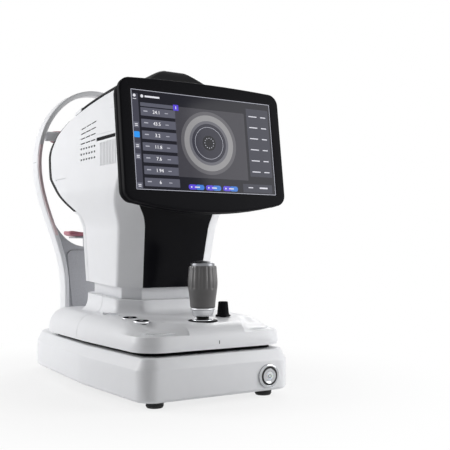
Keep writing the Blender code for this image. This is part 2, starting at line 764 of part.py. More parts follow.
def make_stage_cover(stage, white):
    """One moulding in two halves: a soft pillow that sweeps up into the neck of the column."""
    lip = STAGE_LIP
    wall = STAGE_WALL
    steps = 5

    def pillow(distance, share, sink):
        """Outline of the pillow at a share of its height, which varies along the stage."""
        points = []
        for p in rounded(stage_corners(distance)):
            rise = stage_height(p.y - back(0)) - STAGE_FLOOR - lip
            points.append(Vector((p.x, p.y, STAGE_FLOOR + max(lip + rise * share - sink, lip / 6))))
        return points

    profile = []
    flare = []
    for k in range(steps + 1):
        angle = math.pi / 2 * k / steps
        profile.append((SHOULDER * (1 - math.cos(angle)), math.sin(angle) ** 0.8))
        t = k / steps
        flare.append((-NECK_FLARE * (1 - t) ** 2.2, STAGE_TOP + NECK_HEIGHT * t ** 1.8, FOOT_RISE * t))
    ledge = SLEEVE_SET - RUN
    flare.append((ledge, NECK_TOP, FOOT_RISE))
    outer = [ring(stage_corners(lip / 2), STAGE_FLOOR)] + [pillow(d, share, 0) for d, share in profile]
    outer += [sloped(ring(column_corners(d), z), tip) for d, z, tip in flare]
    inner = [ring(stage_corners(lip / 2 + wall), STAGE_FLOOR)]
    inner += [pillow(d + wall, share, wall) for d, share in profile]
    inner += [sloped(ring(column_corners(min(d + wall, ledge)), z - wall), tip) for d, z, tip in flare]
    far = 2 * BASE_DEPTH
    split = back(STAGE_SPLIT)
    halves = (("stage_cover_front", -far, split - SEAT / 2), ("stage_cover_rear", split + SEAT / 2, far))
    for name, start, end in halves:
        cover = put(name, sleeve(outer, inner), white, stage)
        carve(cover, block((-far, start, 0), (far, end, far)), "INTERSECT")
        if name == "stage_cover_front":
            drill_stage(cover)


def drill_stage(cover):
    """Openings for the joystick, the lock knob's stem and the chinrest buttons."""
    low = STAGE_TOP - NECK_HEIGHT
    holes = [(0, JOY_Y, JOY_COLLAR + SEAT), (LOCK_X, LOCK_Y, LOCK_STEM + RUN)]
    holes += [(-BUTTON_X, BUTTON_Y + side * BUTTON_SPACING / 2, BUTTON_RADIUS + RUN) for side in (-1, 1)]
    for x, y, radius in holes:
        carve(cover, at(round_bar(radius, 2 * NECK_HEIGHT, 24), x, back(y), low))


# Controls on the stage

def make_joystick(stage, black, charcoal, silver):
    y = back(JOY_Y)
    foot = JOY_TOP - JOY_COLLAR_HEIGHT
    collar = [(JOY_MOUTH, JOY_TOP), (JOY_COLLAR - MM, JOY_TOP), (JOY_COLLAR, JOY_TOP - MM),
              (JOY_COLLAR, foot), (JOY_MOUTH, foot)]
    put("joystick_collar", at(turned(collar, ring_shape=True), 0, y, 0), black, stage)

    tilt = pivot("joystick_tilt_y", 0, y, JOY_Z)
    bore = JOY_BALL + RUN
    wide = bore + GIMBAL_WALL
    half = GIMBAL_HEIGHT / 2
    gimbal = [(bore, half), (wide, half), (wide, -half), (bore, -half)]
    put("joystick_gimbal", at(turned(gimbal, ring_shape=True), 0, y, JOY_Z), black, tilt)

    sway = pivot("joystick_tilt_x", 0, y, JOY_Z)
    neck = JOY_BALL * 0.85
    neck_top = JOY_DROP + JOY_LIFT - SEAT
    foot_centre = DECK_TOP + RUN + JOY_FOOT - JOY_Z
    stick = [(0, neck_top), (neck, neck_top)]
    ball_top = math.asin(0.85)
    for k in range(7):
        angle = mix(math.pi / 2 - ball_top, -math.pi / 2 + math.asin(JOY_TAIL / JOY_BALL), k / 6)
        stick.append((JOY_BALL * math.cos(angle), JOY_BALL * math.sin(angle)))
    for k in range(6):
        angle = mix(math.pi / 2 - math.asin(JOY_TAIL / JOY_FOOT), -math.pi / 2, k / 5)
        stick.append((JOY_FOOT * math.cos(angle), foot_centre + JOY_FOOT * math.sin(angle)))
    stick[-1] = (0, foot_centre - JOY_FOOT)
    put("joystick_shaft", at(turned(stick), 0, y, JOY_Z), black, sway)
    low = JOY_DROP + JOY_LIFT
    high = low + FERRULE_HEIGHT
    ferrule = [(0, high), (FERRULE_HIGH - MM, high), (FERRULE_HIGH, high - MM), (FERRULE_LOW, low), (0, low)]
    put("joystick_ferrule", at(turned(ferrule), 0, y, JOY_Z), silver, sway)

    make_grip(y, JOY_Z + high + SEAT, charcoal, silver)


def make_grip(y, low, charcoal, silver):
    """Barrel grip with fluting on its upper half, and the sprung cap on top."""
    twist = pivot("joystick_twist", 0, y, JOY_Z)
    rings = []
    segments = 2 * round(2 * math.pi * GRIP_MAX / GROOVE_PITCH)
    levels = (0, 0.03, 0.25, 0.46, 0.52, 0.7, 0.88, 0.94, 1)
    for t in levels:
        radius = mix(mix(GRIP_LOW, GRIP_MAX, ease(t / 0.6)), GRIP_TOP, ease((t - 0.6) / 0.4))
        if t in (0, 1):
            radius -= MM
        fluted = 0.5 <= t <= 0.9
        points = []
        for k in range(segments):
            deep = GROOVE_DEEP if fluted and k % 2 == 0 else 0
            angle = 2 * math.pi * k / segments
            points.append(Vector(((radius - deep) * math.cos(angle), y + (radius - deep) * math.sin(angle),
                                  low + GRIP_HEIGHT * t)))
        rings.append(points)
    grip = put("joystick_grip", loft(rings), charcoal, twist)
    radius = GRIP_TOP - CAP_RIM
    top = low + GRIP_HEIGHT
    cap_low = top - CAP_SKIRT
    carve(grip, at(round_bar(radius + RUN, 2 * CAP_SKIRT + CAP_TRAVEL, 24), 0, y, cap_low - CAP_TRAVEL - SEAT))
    cap = []
    for k in range(6):
        angle = math.pi / 2 * (1 - k / 5)
        cap.append((radius * math.cos(angle), top + CAP_TRAVEL + (CAP_HEIGHT - CAP_TRAVEL) * math.sin(angle)))
    cap[0] = (0, top + CAP_HEIGHT)
    cap += [(radius, cap_low), (0, cap_low)]
    put("joystick_button", at(turned(cap), 0, y, 0), silver, pivot("joystick_press", 0, y, cap_low))


def make_stage_controls(black):
    low = stage_height(LOCK_Y) + LOCK_PROUD
    lock = pivot("lock_knob_turn", LOCK_X, back(LOCK_Y), low)
    top = low + LOCK_HEIGHT
    skirt = LOCK_RADIUS + LOCK_SKIRT
    crown = LOCK_RADIUS - LOCK_DRAW
    knob = [(0, top), (crown - MM, top), (crown, top - MM), (LOCK_RADIUS, low + LOCK_SKIRT),
            (skirt, low + LOCK_SKIRT - MM), (skirt, low), (LOCK_STEM, low),
            (LOCK_STEM, PLATE_TOP + SEAT), (0, PLATE_TOP + SEAT)]
    put("lock_knob", at(turned(knob), LOCK_X, back(LOCK_Y), 0), black, lock)
    for name, side in (("chin_button_down", -1), ("chin_button_up", 1)):
        distance = BUTTON_Y + side * BUTTON_SPACING / 2
        y = back(distance)
        top = stage_height(distance) + BUTTON_PROUD
        foot = top - 3.5 * STAGE_WALL
        cap = [(0, top), (BUTTON_RADIUS - 2 * MM, top - 0.2 * MM), (BUTTON_RADIUS, top - 1.2 * MM),
               (BUTTON_RADIUS, foot), (0, foot)]
        put(name, at(turned(cap), -BUTTON_X, y, 0), black, pivot(name + "_slide", -BUTTON_X, y, top))


# Measuring head: its outline is a set of curves over the height above the column's foot

def head_half(height):
    top = max(0.0, height - FACE_HEIGHT) / (TOP_FRONT - FACE_HEIGHT)
    spread = ease(height / (COLUMN_HEIGHT + BELLY_HEIGHT))
    return mix(COLUMN_HALF, HEAD_HALF, spread) - TOP_SIDE_DRAW * top ** 2


def head_front(height):
    lean = COLUMN_FRONT - COLUMN_LEAN * min(1, height / COLUMN_HEIGHT)
    return mix(lean, HEAD_FRONT, ease((height - COLUMN_HEIGHT) / BELLY_HEIGHT))


def head_rear(height):
    """The patient's side bulges out over the column and draws in again to the top."""
    if height <= FACE_HEIGHT:
        return mix(COLUMN_REAR, HEAD_REAR, ease((height - COLUMN_HEIGHT) / (FACE_HEIGHT - COLUMN_HEIGHT)))
    return HEAD_REAR - TOP_REAR_DRAW * ((height - FACE_HEIGHT) / (TOP_REAR - FACE_HEIGHT)) ** 2


def rear_height(height):
    """The outlines tip up towards the patient at the column's foot, and down above the face."""
    if height <= COLUMN_HEIGHT:
        return height + FOOT_RISE * (1 - height / COLUMN_HEIGHT)
    if height <= FACE_HEIGHT:
        return height
    return mix(FACE_HEIGHT, TOP_REAR, (height - FACE_HEIGHT) / (TOP_FRONT - FACE_HEIGHT))


def rear_half(height):
    return head_half(height) - COLUMN_TAPER * (1 - ease(height / (COLUMN_HEIGHT + BELLY_HEIGHT)))


def panel_edge(height):
    """Half width of the front panel, and the distance at which it lies ahead of the side shells."""
    up = ease((height - COLUMN_HEIGHT) / BELLY_HEIGHT)
    return (head_half(height) - mix(CHAMFER_WIDE, RIM_WIDE, up),
            head_front(height) - mix(CHAMFER_DEEP, RIM_DEEP, up))


def head_heights():
    heights = [0, COLUMN_HEIGHT / 2]
    heights += [COLUMN_HEIGHT + BELLY_HEIGHT * k / 5 for k in range(6)]
    bulge = COLUMN_HEIGHT + BELLY_HEIGHT
    heights += [mix(bulge, FACE_HEIGHT, k / 2) for k in (1, 2)]
    return heights + [mix(FACE_HEIGHT, TOP_FRONT, k / 5) for k in range(1, 6)]


def head_point(height, x, distance):
    """Place on the head at a height, tipped with the outline it belongs to."""
    front = head_front(height)
    along = (distance - front) / (head_rear(rear_height(height)) - front)
    return Vector((x, back(distance), COLUMN_Z + mix(height, rear_height(height), along)))


def shell_ring(height, side):
    """Section of one side shell: from the front panel's edge round the front corner to the rear."""
    half = head_half(height)
    front = head_front(height)
    edge, start = panel_edge(height)
    rear_x = rear_half(height)
    rear = head_rear(rear_height(height)) - PATIENT_RIM
    outside = [(edge, start, 0), (half, front, SHELL_CORNER), (rear_x, rear, 0)]
    inside = [(rear_x - HEAD_WALL, rear, 0), inset(outside, HEAD_WALL)[1], (edge, start + 1.4 * HEAD_WALL, 0)]
    section = outside + inside
    return [head_point(height, side * p.x, p.y) for p in rounded(section)]


def slab_ring(height, half, start, end):
    """Section of a panel across the head."""
    return [head_point(height, x, y) for x, y in ((-half, start), (half, start), (half, end), (-half, end))]


def make_head(white, black, aluminium, glass):
    lift = pivot("head_lift", 0, back(POST_Y), COLUMN_Z)
    heights = head_heights()
    for name, side in (("head_shell_left", -1), ("head_shell_right", 1)):
        put(name, loft([shell_ring(h, side) for h in heights]), white, lift)

    panel = []
    for h in heights:
        edge, start = panel_edge(h)
        panel.append(slab_ring(h, edge - SEAT, start, start + HEAD_WALL))
    put("head_front_panel", loft(panel), black, lift)

    seam = COLUMN_HEIGHT + BELLY_HEIGHT / 5
    low_rows = [h for h in heights if h < seam - MM] + [seam - SEAT]
    high_rows = [seam + SEAT] + [h for h in heights if h > seam + MM]
    for name, rows, material in (("column_rear_cover", low_rows, white), ("patient_panel", high_rows, black)):
        slab = []
        for h in rows:
            rear = head_rear(rear_height(h))
            slab.append(slab_ring(h, rear_half(h), rear - PATIENT_RIM + RUN, rear))
        put(name, loft(slab), material, lift)
    carve(bpy.data.objects["patient_panel"],
          along_y(round_bar(WINDOW_RADIUS + SEAT, 4 * WINDOW_RADIUS, 36), 0,
                  back(HEAD_REAR + 2 * WINDOW_RADIUS), EYE_Z))
    make_top_cover(lift, black)
    make_optics(lift, aluminium, black, glass)
    return lift


def make_top_cover(lift, black):
    """Cover that closes the top of the head: a shallow roof that swells to a rounded hump behind the monitor."""
    edge, start = panel_edge(TOP_FRONT)
    corners = mirrored([(edge, start, SHELL_CORNER / 2), (head_half(TOP_FRONT), HEAD_FRONT, SHELL_CORNER),
                        (rear_half(TOP_FRONT), HEAD_REAR - TOP_REAR_DRAW, TOP_REAR_DRAW / 2)])
    rim = rounded(corners)
    middle = mix(start, HEAD_REAR - TOP_REAR_DRAW, ROOF_PEAK)

    def contour(distance, height):
        """Outline of the roof drawn in towards its peak."""
        share = 1 - distance / head_half(TOP_FRONT)
        points = []
        for p in rim:
            place = head_point(TOP_FRONT, p.x * share, mix(middle, p.y, share))
            points.append(place + Vector((0, 0, SEAT + height)))
        return points

    def roof(distance):
        return TOP_RIM + ROOF_SLOPE * distance + HUMP * ease((distance - HUMP_IN) / HUMP_FLANK)

    steps = [HUMP_IN / 2] + [HUMP_IN + HUMP_FLANK * k / 5 for k in range(6)]
    edge_rows = [contour(0, 0), contour(0, TOP_RIM - MM), contour(MM, TOP_RIM)]
    outer = edge_rows + [contour(d, roof(d)) for d in steps]
    inner = [contour(2 * HEAD_WALL, 0)] + [contour(d + HEAD_WALL, roof(d) - HEAD_WALL) for d in steps]
    put("head_top_cover", cup(outer, inner), black, lift)


def make_optics(lift, aluminium, black, glass):
    """Chassis on the lift posts, the optical tube it carries, and the window ring and lens."""
    y = back(POST_Y)
    base_z = COLUMN_Z + LIFT_TRAVEL + SLEEVE_LAP + BUSH_WALL
    half = POST_X + POST_RADIUS + BUSH_WALL + CHASSIS_SIDE
    deep = POST_RADIUS + BUSH_WALL + CHASSIS_DEEP
    shelf_z = EYE_Z - TUBE_RADIUS - SHELF_DROP
    chassis = put("head_chassis", block((-half, y - deep, base_z), (half, y + deep, base_z + SHELF_THICK)),
                  aluminium, lift)
    bush_low = base_z - BUSH_LENGTH / 2
    for side in (-1, 1):
        bush = round_bar(POST_RADIUS + BUSH_WALL, BUSH_LENGTH)
        carve(chassis, at(bush, side * POST_X, y, bush_low), "UNION")
        x_low, x_high = sorted((side * half, side * (half - SHELF_THICK)))
        wall = block((x_low, y - deep, base_z + SHELF_THICK / 2), (x_high, y + deep, shelf_z + SHELF_THICK / 2))
        carve(chassis, wall, "UNION")
    wide = head_half(shelf_z - COLUMN_Z) - HEAD_WALL - RUN
    reach = deep + SHELF_REACH
    shelf = block((-wide, y - reach, shelf_z), (wide, y + reach, shelf_z + SHELF_THICK))
    carve(chassis, shelf, "UNION")
    for end in (-1, 1):
        middle = y + end * SADDLE_SPACING / 2
        saddle = block((-TUBE_RADIUS, middle - SADDLE_WIDTH / 2, shelf_z + SHELF_THICK / 2),
                       (TUBE_RADIUS, middle + SADDLE_WIDTH / 2, EYE_Z - TUBE_RADIUS / 2))
        carve(chassis, saddle, "UNION")
    front = HEAD_REAR + WINDOW_PROUD
    depth = PATIENT_RIM + MM
    tube_start = front - depth - SEAT - TUBE_LENGTH
    carve(chassis, along_y(round_bar(TUBE_RADIUS + SEAT, 3 * TUBE_LENGTH, 32), 0,
                           back(tube_start + 2 * TUBE_LENGTH), EYE_Z))
    for x, radius in ((-POST_X, POST_RADIUS), (POST_X, POST_RADIUS), (0, SCREW_RADIUS)):
        carve(chassis, at(round_bar(radius + RUN, 3 * BUSH_LENGTH), x, y, bush_low - BUSH_LENGTH))

    tube = [(0, TUBE_LENGTH), (TUBE_RADIUS - 4 * MM, TUBE_LENGTH), (TUBE_RADIUS, TUBE_LENGTH - 10 * MM),
            (TUBE_RADIUS, 0), (0, 0)]
    put("optical_tube", along_y(turned(tube, 24), 0, back(tube_start + TUBE_LENGTH), EYE_Z), black, lift)
    window = [(LENS_RADIUS + SEAT, depth), (WINDOW_RADIUS, depth), (WINDOW_RADIUS, MM), (WINDOW_RADIUS - MM, 0),
              (LENS_RADIUS + 4 * MM, 0), (LENS_RADIUS + SEAT, 3 * MM)]
    put("window_ring", along_y(turned(window, 24, ring_shape=True), 0, back(front), EYE_Z), black, lift)
    lens = [(0, depth), (LENS_RADIUS, depth), (LENS_RADIUS, LENS_SINK + LENS_BULGE),
            (LENS_RADIUS * 0.6, LENS_SINK + LENS_BULGE / 4), (0, LENS_SINK)]
    put("objective_lens", along_y(turned(lens, 24), 0, back(front), EYE_Z), glass, lift)


# Monitor

def monitor_place():
    """From the monitor's own axes, with its screen at the origin facing -Y, to the object."""
    return Matrix.Translation((0, back(SCREEN_Y), SCREEN_Z)) @ Matrix.Rotation(-SCREEN_TILT, 4, "X")


def face_outline(grow):
    """Screen-shaped outline grown by its margins; its upper and lower edges bow out."""
    half = SCREEN_WIDTH / 2 + grow * BEZEL_SIDE
    top = SCREEN_HEIGHT / 2 + grow * BEZEL_TOP
    bottom = -SCREEN_HEIGHT / 2 - grow * BEZEL_BOTTOM
    radius = max(grow * BEZEL_RADIUS, SEAT)
    corners = [(half, bottom, radius), (half, top, radius), (-half, top, radius), (-half, bottom, radius)]
    arcs = rounded(corners)
    half_way = len(arcs) // 2
    reach = half - radius
    edge = [-reach + 2 * reach * k / 6 for k in range(1, 6)]
    upper = [Vector((-x, top + grow * BEZEL_TOP_BOW * (1 - (x / reach) ** 2))) for x in edge]
    lower = [Vector((x, bottom - grow * BEZEL_BOW * (1 - (x / reach) ** 2))) for x in edge]
    return arcs[:half_way] + upper + arcs[half_way:] + lower


def face_ring(outline, depth):
    place = monitor_place()
    return [place @ Vector((p.x, depth, p.y)) for p in outline]


def shrunk(outline, share):
    """Outline drawn in towards its middle."""
    return [Vector((p.x * share, p.y * share)) for p in outline]


def make_monitor(lift, black, glass):
    place = monitor_place()
    hinge_local = Vector((0, BEZEL_DEPTH + SEAT + BACK_DEPTH + HINGE_REACH, -HINGE_DROP))
    hinge = place @ hinge_local
    tilt = pivot("monitor_tilt", *hinge)
    outer = face_outline(1)
    window = face_outline(0)
    rim = [face_ring(shrunk(outer, 0.992), 0), face_ring(outer, 1.2 * MM), face_ring(outer, BEZEL_DEPTH)]
    opening = [face_ring(window, d) for d in (0, 1.2 * MM, BEZEL_DEPTH)]
    put("monitor_bezel", sleeve(rim, opening), black, tilt)

    def sheet(gap, start, end):
        half = SCREEN_WIDTH / 2 - gap
        rise = SCREEN_HEIGHT / 2 - gap
        bm = block((-half, start, -rise), (half, end, rise))
        bm.transform(place)
        return bm

    put("screen_panel", sheet(SEAT, SCREEN_SINK, BEZEL_DEPTH - SEAT), glass, tilt)

    start = BEZEL_DEPTH + SEAT
    shares = ((1, 0), (1, 0.45), (0.99, 0.68), (0.955, 0.86), (0.88, 0.97), (0.6, 1))
    shell = [face_ring(shrunk(outer, share), start + BACK_DEPTH * t) for share, t in shares]
    hollow = BACK_DEPTH - BACK_WALL
    inside = [face_ring(shrunk(outer, share - 0.03), start + hollow * t) for share, t in shares]
    put("monitor_back", cup(shell, inside), black, tilt)

    knuckle = put("monitor_knuckle", along_x(round_bar(KNUCKLE_RADIUS, 2 * KNUCKLE_HALF), -KNUCKLE_HALF,
                                             hinge.y, hinge.z), black, tilt)
    seat = start + BACK_DEPTH + SEAT
    web = block((-KNUCKLE_HALF, seat, -HINGE_DROP - KNUCKLE_RADIUS),
                (KNUCKLE_HALF, hinge_local.y, -HINGE_DROP + KNUCKLE_RADIUS))
    web.transform(place)
    carve(knuckle, web, "UNION")
    wide = KNUCKLE_HALF + KNUCKLE_FOOT_SIDE
    foot = block((-wide, seat, -HINGE_DROP - KNUCKLE_FOOT_RISE),
                 (wide, seat + KNUCKLE_FOOT, -HINGE_DROP + KNUCKLE_FOOT_RISE), MM)
    foot.transform(place)
    carve(knuckle, foot, "UNION")
    pin_half = KNUCKLE_HALF + RUN + LUG_THICK
    carve(knuckle, along_x(round_bar(PIN_RADIUS, 2 * pin_half), -pin_half, hinge.y, hinge.z), "UNION")
    make_monitor_arm(lift, hinge, black)


def make_monitor_arm(lift, hinge, black):
    """Bracket on the head's front panel, with two lugs that hold the hinge pin."""
    wall = back(panel_edge(FACE_HEIGHT)[1]) - SEAT
    inner = KNUCKLE_HALF + RUN
    outer = inner + LUG_THICK
    half = outer + ARM_MARGIN
    arm = put("monitor_arm", block((-half, wall - ARM_PLATE, hinge.z - ARM_RISE),
                                   (half, wall, hinge.z + ARM_RISE), MM), black, lift)
    for side in (-1, 1):
        x_low, x_high = sorted((side * inner, side * outer))
        carve(arm, along_x(round_bar(KNUCKLE_RADIUS, LUG_THICK), x_low, hinge.y, hinge.z), "UNION")
        lug = block((x_low, hinge.y, hinge.z - KNUCKLE_RADIUS),
                    (x_high, wall - ARM_PLATE / 2, hinge.z + KNUCKLE_RADIUS))
        carve(arm, lug, "UNION")
    carve(arm, along_x(round_bar(PIN_RADIUS + RUN, 4 * outer), -2 * outer, hinge.y, hinge.z))


# Headrest: a ring for the face that draws in to two legs on the base

def rest_half(z):
    """Half width of the ring and its legs at a height."""
    if z >= EYE_Z:
        return REST_HALF * math.sqrt(max(0.0, 1 - ((z - EYE_Z) / REST_RISE) ** 2))
    return mix(REST_LEG_HALF, REST_HALF, 0.5 + 0.5 * math.cos(math.pi * min(1, (EYE_Z - z) / REST_TAPER)))


def rest_inner(z):
    """Half width inside the band at a height."""
    step = 0.5 * MM
    slope = (rest_half(z + step) - rest_half(z - step)) / (2 * step)
    return rest_half(z) - REST_BAND * math.sqrt(1 + slope * slope) - RUN


def rest_path():
    """Centre line of the outside of the band, from the left foot over the top to the right foot."""
    foot = BASE_TOP + SEAT
    rising = [mix(foot, EYE_Z, k / 12) for k in range(12)]
    left = [(-rest_half(z), z) for z in rising]
    arch = []
    for k in range(19):
        angle = math.pi * (1 - k / 18)
        arch.append((REST_HALF * math.cos(angle), EYE_Z + REST_RISE * math.sin(angle)))
    return [Vector(p) for p in left + arch + [(-x, z) for x, z in reversed(left)]]


def outward(path, i):
    """Direction square to a path, to its left."""
    along = path[min(i + 1, len(path) - 1)] - path[max(i - 1, 0)]
    along.normalize()
    return Vector((-along.y, along.x))


def band_ring(path, i, depths, start, end, edge):
    """Section of a band at a point of its path, with broken edges."""
    out, deep = depths
    way = outward(path, i)
    if i in (0, len(path) - 1) and abs(way.x) > 0.9:
        way = Vector((math.copysign(1, way.x), 0))
    section = ((out, start + edge), (out, end - edge), (out - edge, end), (deep + edge, end),
               (deep, end - edge), (deep, start + edge), (deep + edge, start), (out - edge, start))
    points = []
    for reach, y in section:
        place = path[i] + way * reach
        points.append(Vector((place.x, y, place.y)))
    return points


def make_headrest(white, rose, grey):
    path = rest_path()
    front = back(REST_Y)
    rear = back(REST_Y + REST_DEPTH)
    band = [band_ring(path, i, (0, -REST_BAND), front, rear, 1.8 * MM) for i in range(len(path))]
    put("headrest_frame", loft(band), white)

    trim_low = EYE_Z - DISH_DROP + DISH_RISE / 2
    trim_high = EYE_Z + BAR_LIFT - BAR_HEIGHT
    inside = (REST_BAND - TRIM_WIDTH) / 2
    for name, side in (("headrest_trim_left", -1), ("headrest_trim_right", 1)):
        line = [Vector((side * rest_half(z), z)) for z in
                [mix(trim_low, trim_high, k / 12) for k in range(13)]]
        reach = (side * inside, side * (inside + TRIM_WIDTH))
        rings = [band_ring(line, i, (max(reach), min(reach)), front - SEAT - TRIM_THICK, front - SEAT, 0.5 * MM)
                 for i in range(len(line))]
        put(name, loft(rings), rose)
    make_leg_panel(grey)
    make_forehead_rest(white, rose)


def make_leg_panel(grey):
    """Dark panel between the legs, with the dished edge under the face opening."""
    front = back(REST_Y + PANEL_RECESS)
    rear = back(REST_Y + REST_DEPTH)
    low = BASE_TOP + SEAT
    dish = EYE_Z - DISH_DROP
    meet = dish + DISH_RISE
    sides = [mix(low, meet, k / 8) for k in range(9)]
    width = rest_inner(meet)
    outline = [(-rest_inner(z), z) for z in sides]
    for k in range(1, 16):
        x = -width + 2 * width * k / 16
        outline.append((x, dish + DISH_RISE * abs(x / width) ** 3.2))
    outline += [(rest_inner(z), z) for z in reversed(sides)]
    put("leg_panel", prism(outline, front, rear), grey)
    top = dish - COVER_MARGIN
    foot = low + COVER_FOOT
    cover = mirrored([(rest_inner(foot) - COVER_MARGIN, foot, COVER_RADIUS),
                      (rest_inner(top) - COVER_MARGIN, top, COVER_RADIUS)])
    outline = [(p.x, p.y) for p in rounded(cover)]
    put("chin_drive_cover", prism(outline, front - SEAT - COVER_THICK, front - SEAT), grey)


def make_forehead_rest(white, rose):
    """Curved bar across the ring, with the soft pad on the patient's side."""
    z = EYE_Z + BAR_LIFT
    middle = back(REST_Y + REST_DEPTH / 2)

    def bar(half, start, thick, rise, edge):
        rings = []
        for k in range(13):
            x = -half + 2 * half * k / 12
            y = middle + BAR_BOW * ((x / half) ** 2 - 1) + start
            section = ((0, -rise + edge), (edge, -rise), (thick - edge, -rise), (thick, -rise + edge),
                       (thick, rise - edge), (thick - edge, rise), (edge, rise), (0, rise - edge))
            rings.append([Vector((x, y + dy, z + dz)) for dy, dz in section])
        return loft(rings)

    half = rest_inner(z + BAR_HEIGHT / 2)
    put("forehead_bar", bar(half, -BAR_DEPTH / 2, BAR_DEPTH, BAR_HEIGHT / 2, 1.5 * MM), white)
    pad = bar(half - PAD_SIDE, BAR_DEPTH / 2 + RUN + SEAT, PAD_THICK, BAR_HEIGHT / 2 + PAD_OVER, 2.5 * MM)
    put("forehead_pad", pad, rose)


# Chinrest on the patient's side of the leg panel

def make_chinrest(rose, steel, grey):
    wall = back(REST_Y + REST_DEPTH)
    pad_low = EYE_Z - CHIN_DROP - CHIN_THICK
    slide = pivot("chinrest_slide", 0, wall, pad_low)
    rail_front = wall + SEAT
    rail_rear = rail_front + RAIL_THICK
    slider_high = pad_low - SLIDER_DROP
    slider_low = slider_high - SLIDER_HEIGHT
    half = RAIL_WIDTH / 2
    put("chin_rail", block((-half, rail_front, slider_low - CHIN_TRAVEL - 4 * MM),
                           (half, rail_rear, slider_high + CHIN_TRAVEL), 0.6 * MM), steel)
    wide = half + SLIDER_CHEEK + RUN
    slider = put("chin_slider", block((-wide, rail_front + RUN, slider_low),
                                      (wide, rail_rear + SLIDER_DEPTH, slider_high), MM), grey, slide)
    carve(slider, block((-half - RUN, rail_front - MM, slider_low - MM),
                        (half + RUN, rail_rear + RUN, slider_high + MM)))
    seat = pad_low - SEAT
    arm_rear = rail_rear + SLIDER_DEPTH - MM
    arm_front = arm_rear - CHIN_ARM
    arm = block((-half, arm_front, slider_high - CHIN_ARM), (half, arm_rear, seat))
    carve(slider, arm, "UNION")
    tray_half = CHIN_HALF * 0.7
    tray = block((-tray_half, arm_front, seat - CHIN_TRAY), (tray_half, rail_rear + CHIN_DEPTH, seat), MM)
    carve(slider, tray, "UNION")

    pad_front = rail_rear + 2 * MM
    rings = []
    for k in range(13):
        t = -1 + 2 * k / 12
        x = CHIN_HALF * t
        drawn = 6 * MM * t ** 4
        dip = CHIN_DIP * (1 - t * t)
        start = pad_front + drawn
        end = pad_front + CHIN_DEPTH - drawn
        top = CHIN_THICK - dip
        edge = 2 * MM
        section = ((start, edge), (start + edge, 0), (end - edge, 0), (end, edge), (end, top - 2 * edge),
                   (end - 2 * edge, top - edge), ((start + end) / 2, top - edge), (start + 2 * edge, top),
                   (start, top - edge))
        rings.append([Vector((x, y, pad_low + dz)) for y, dz in section])
    put("chin_pad", loft(rings), rose, slide)


def main():
    for thing in list(bpy.data.objects):
        bpy.data.objects.remove(thing)
    white = finish("white moulded plastic", (0.80, 0.81, 0.83), 0.35)
    grey = finish("dark grey plastic", (0.07, 0.07, 0.08), 0.5)
    black = finish("black gloss plastic", (0.012, 0.012, 0.014), 0.2)
    charcoal = finish("charcoal grip plastic", (0.045, 0.043, 0.043), 0.5)
    rose = finish("rose silicone", (0.42, 0.10, 0.13), 0.55)
    rubber = finish("black rubber", (0.01, 0.01, 0.01), 0.8)
    steel = finish("ground steel", (0.55, 0.56, 0.57), 0.3, 1)
    silver = finish("satin silver", (0.72, 0.72, 0.72), 0.3, 1)
    chrome = finish("chrome", (0.8, 0.8, 0.8), 0.08, 1)
    aluminium = finish("cast aluminium", (0.6, 0.6, 0.6), 0.45, 1)
    glass = finish("coated glass", (0.01, 0.012, 0.02), 0.05)

    make_base(white, steel, rubber, black, chrome)
    make_carriage(steel, aluminium)
    stage = make_stage_inside(white, steel, aluminium, black)
    make_stage_cover(stage, white)
    make_joystick(stage, black, charcoal, silver)
    make_stage_controls(black)
    lift = make_head(white, black, aluminium, glass)
    make_monitor(lift, black, glass)
    make_headrest(white, rose, grey)
    make_chinrest(rose, steel, grey)


main()
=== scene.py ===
"""Looks of a table-top eye measuring instrument, built round its solid model.

Metres, +Z up. The operator sits at -Y and the patient at +Y.
"""

import math

import bmesh
import bpy
from bpy.props import FloatProperty, FloatVectorProperty, IntProperty, PointerProperty
from bpy.types import Operator, Panel, PropertyGroup
from mathutils import Matrix, Vector


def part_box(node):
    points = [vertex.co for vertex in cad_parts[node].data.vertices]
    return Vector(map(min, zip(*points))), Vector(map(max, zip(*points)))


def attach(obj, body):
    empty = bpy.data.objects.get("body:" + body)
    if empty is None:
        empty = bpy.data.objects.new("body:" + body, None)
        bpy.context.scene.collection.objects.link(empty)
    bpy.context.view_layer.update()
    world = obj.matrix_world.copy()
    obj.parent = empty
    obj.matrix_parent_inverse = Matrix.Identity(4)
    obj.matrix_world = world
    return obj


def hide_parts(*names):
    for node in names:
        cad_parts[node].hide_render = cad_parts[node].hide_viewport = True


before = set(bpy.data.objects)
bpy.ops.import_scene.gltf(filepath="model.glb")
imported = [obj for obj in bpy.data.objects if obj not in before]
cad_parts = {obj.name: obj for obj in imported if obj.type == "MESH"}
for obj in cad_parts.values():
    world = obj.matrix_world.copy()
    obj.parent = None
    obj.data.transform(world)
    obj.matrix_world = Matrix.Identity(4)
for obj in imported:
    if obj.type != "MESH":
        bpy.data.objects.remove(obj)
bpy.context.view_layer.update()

bl_info = {
    "name": "Eye measuring instrument",
    "version": (1, 0, 0),
    "blender": (4, 5, 0),
    "location": "View3D > Sidebar > Instrument",
    "description": "Moulded shells, controls, monitor and headrest of a table-top eye measuring instrument",
    "category": "Object",
}

MM = 0.001

# Gaps and walls
SEAT = 0.3 * MM
RUN = 0.6 * MM
SEAM = 0.9 * MM
WALL = 3 * MM

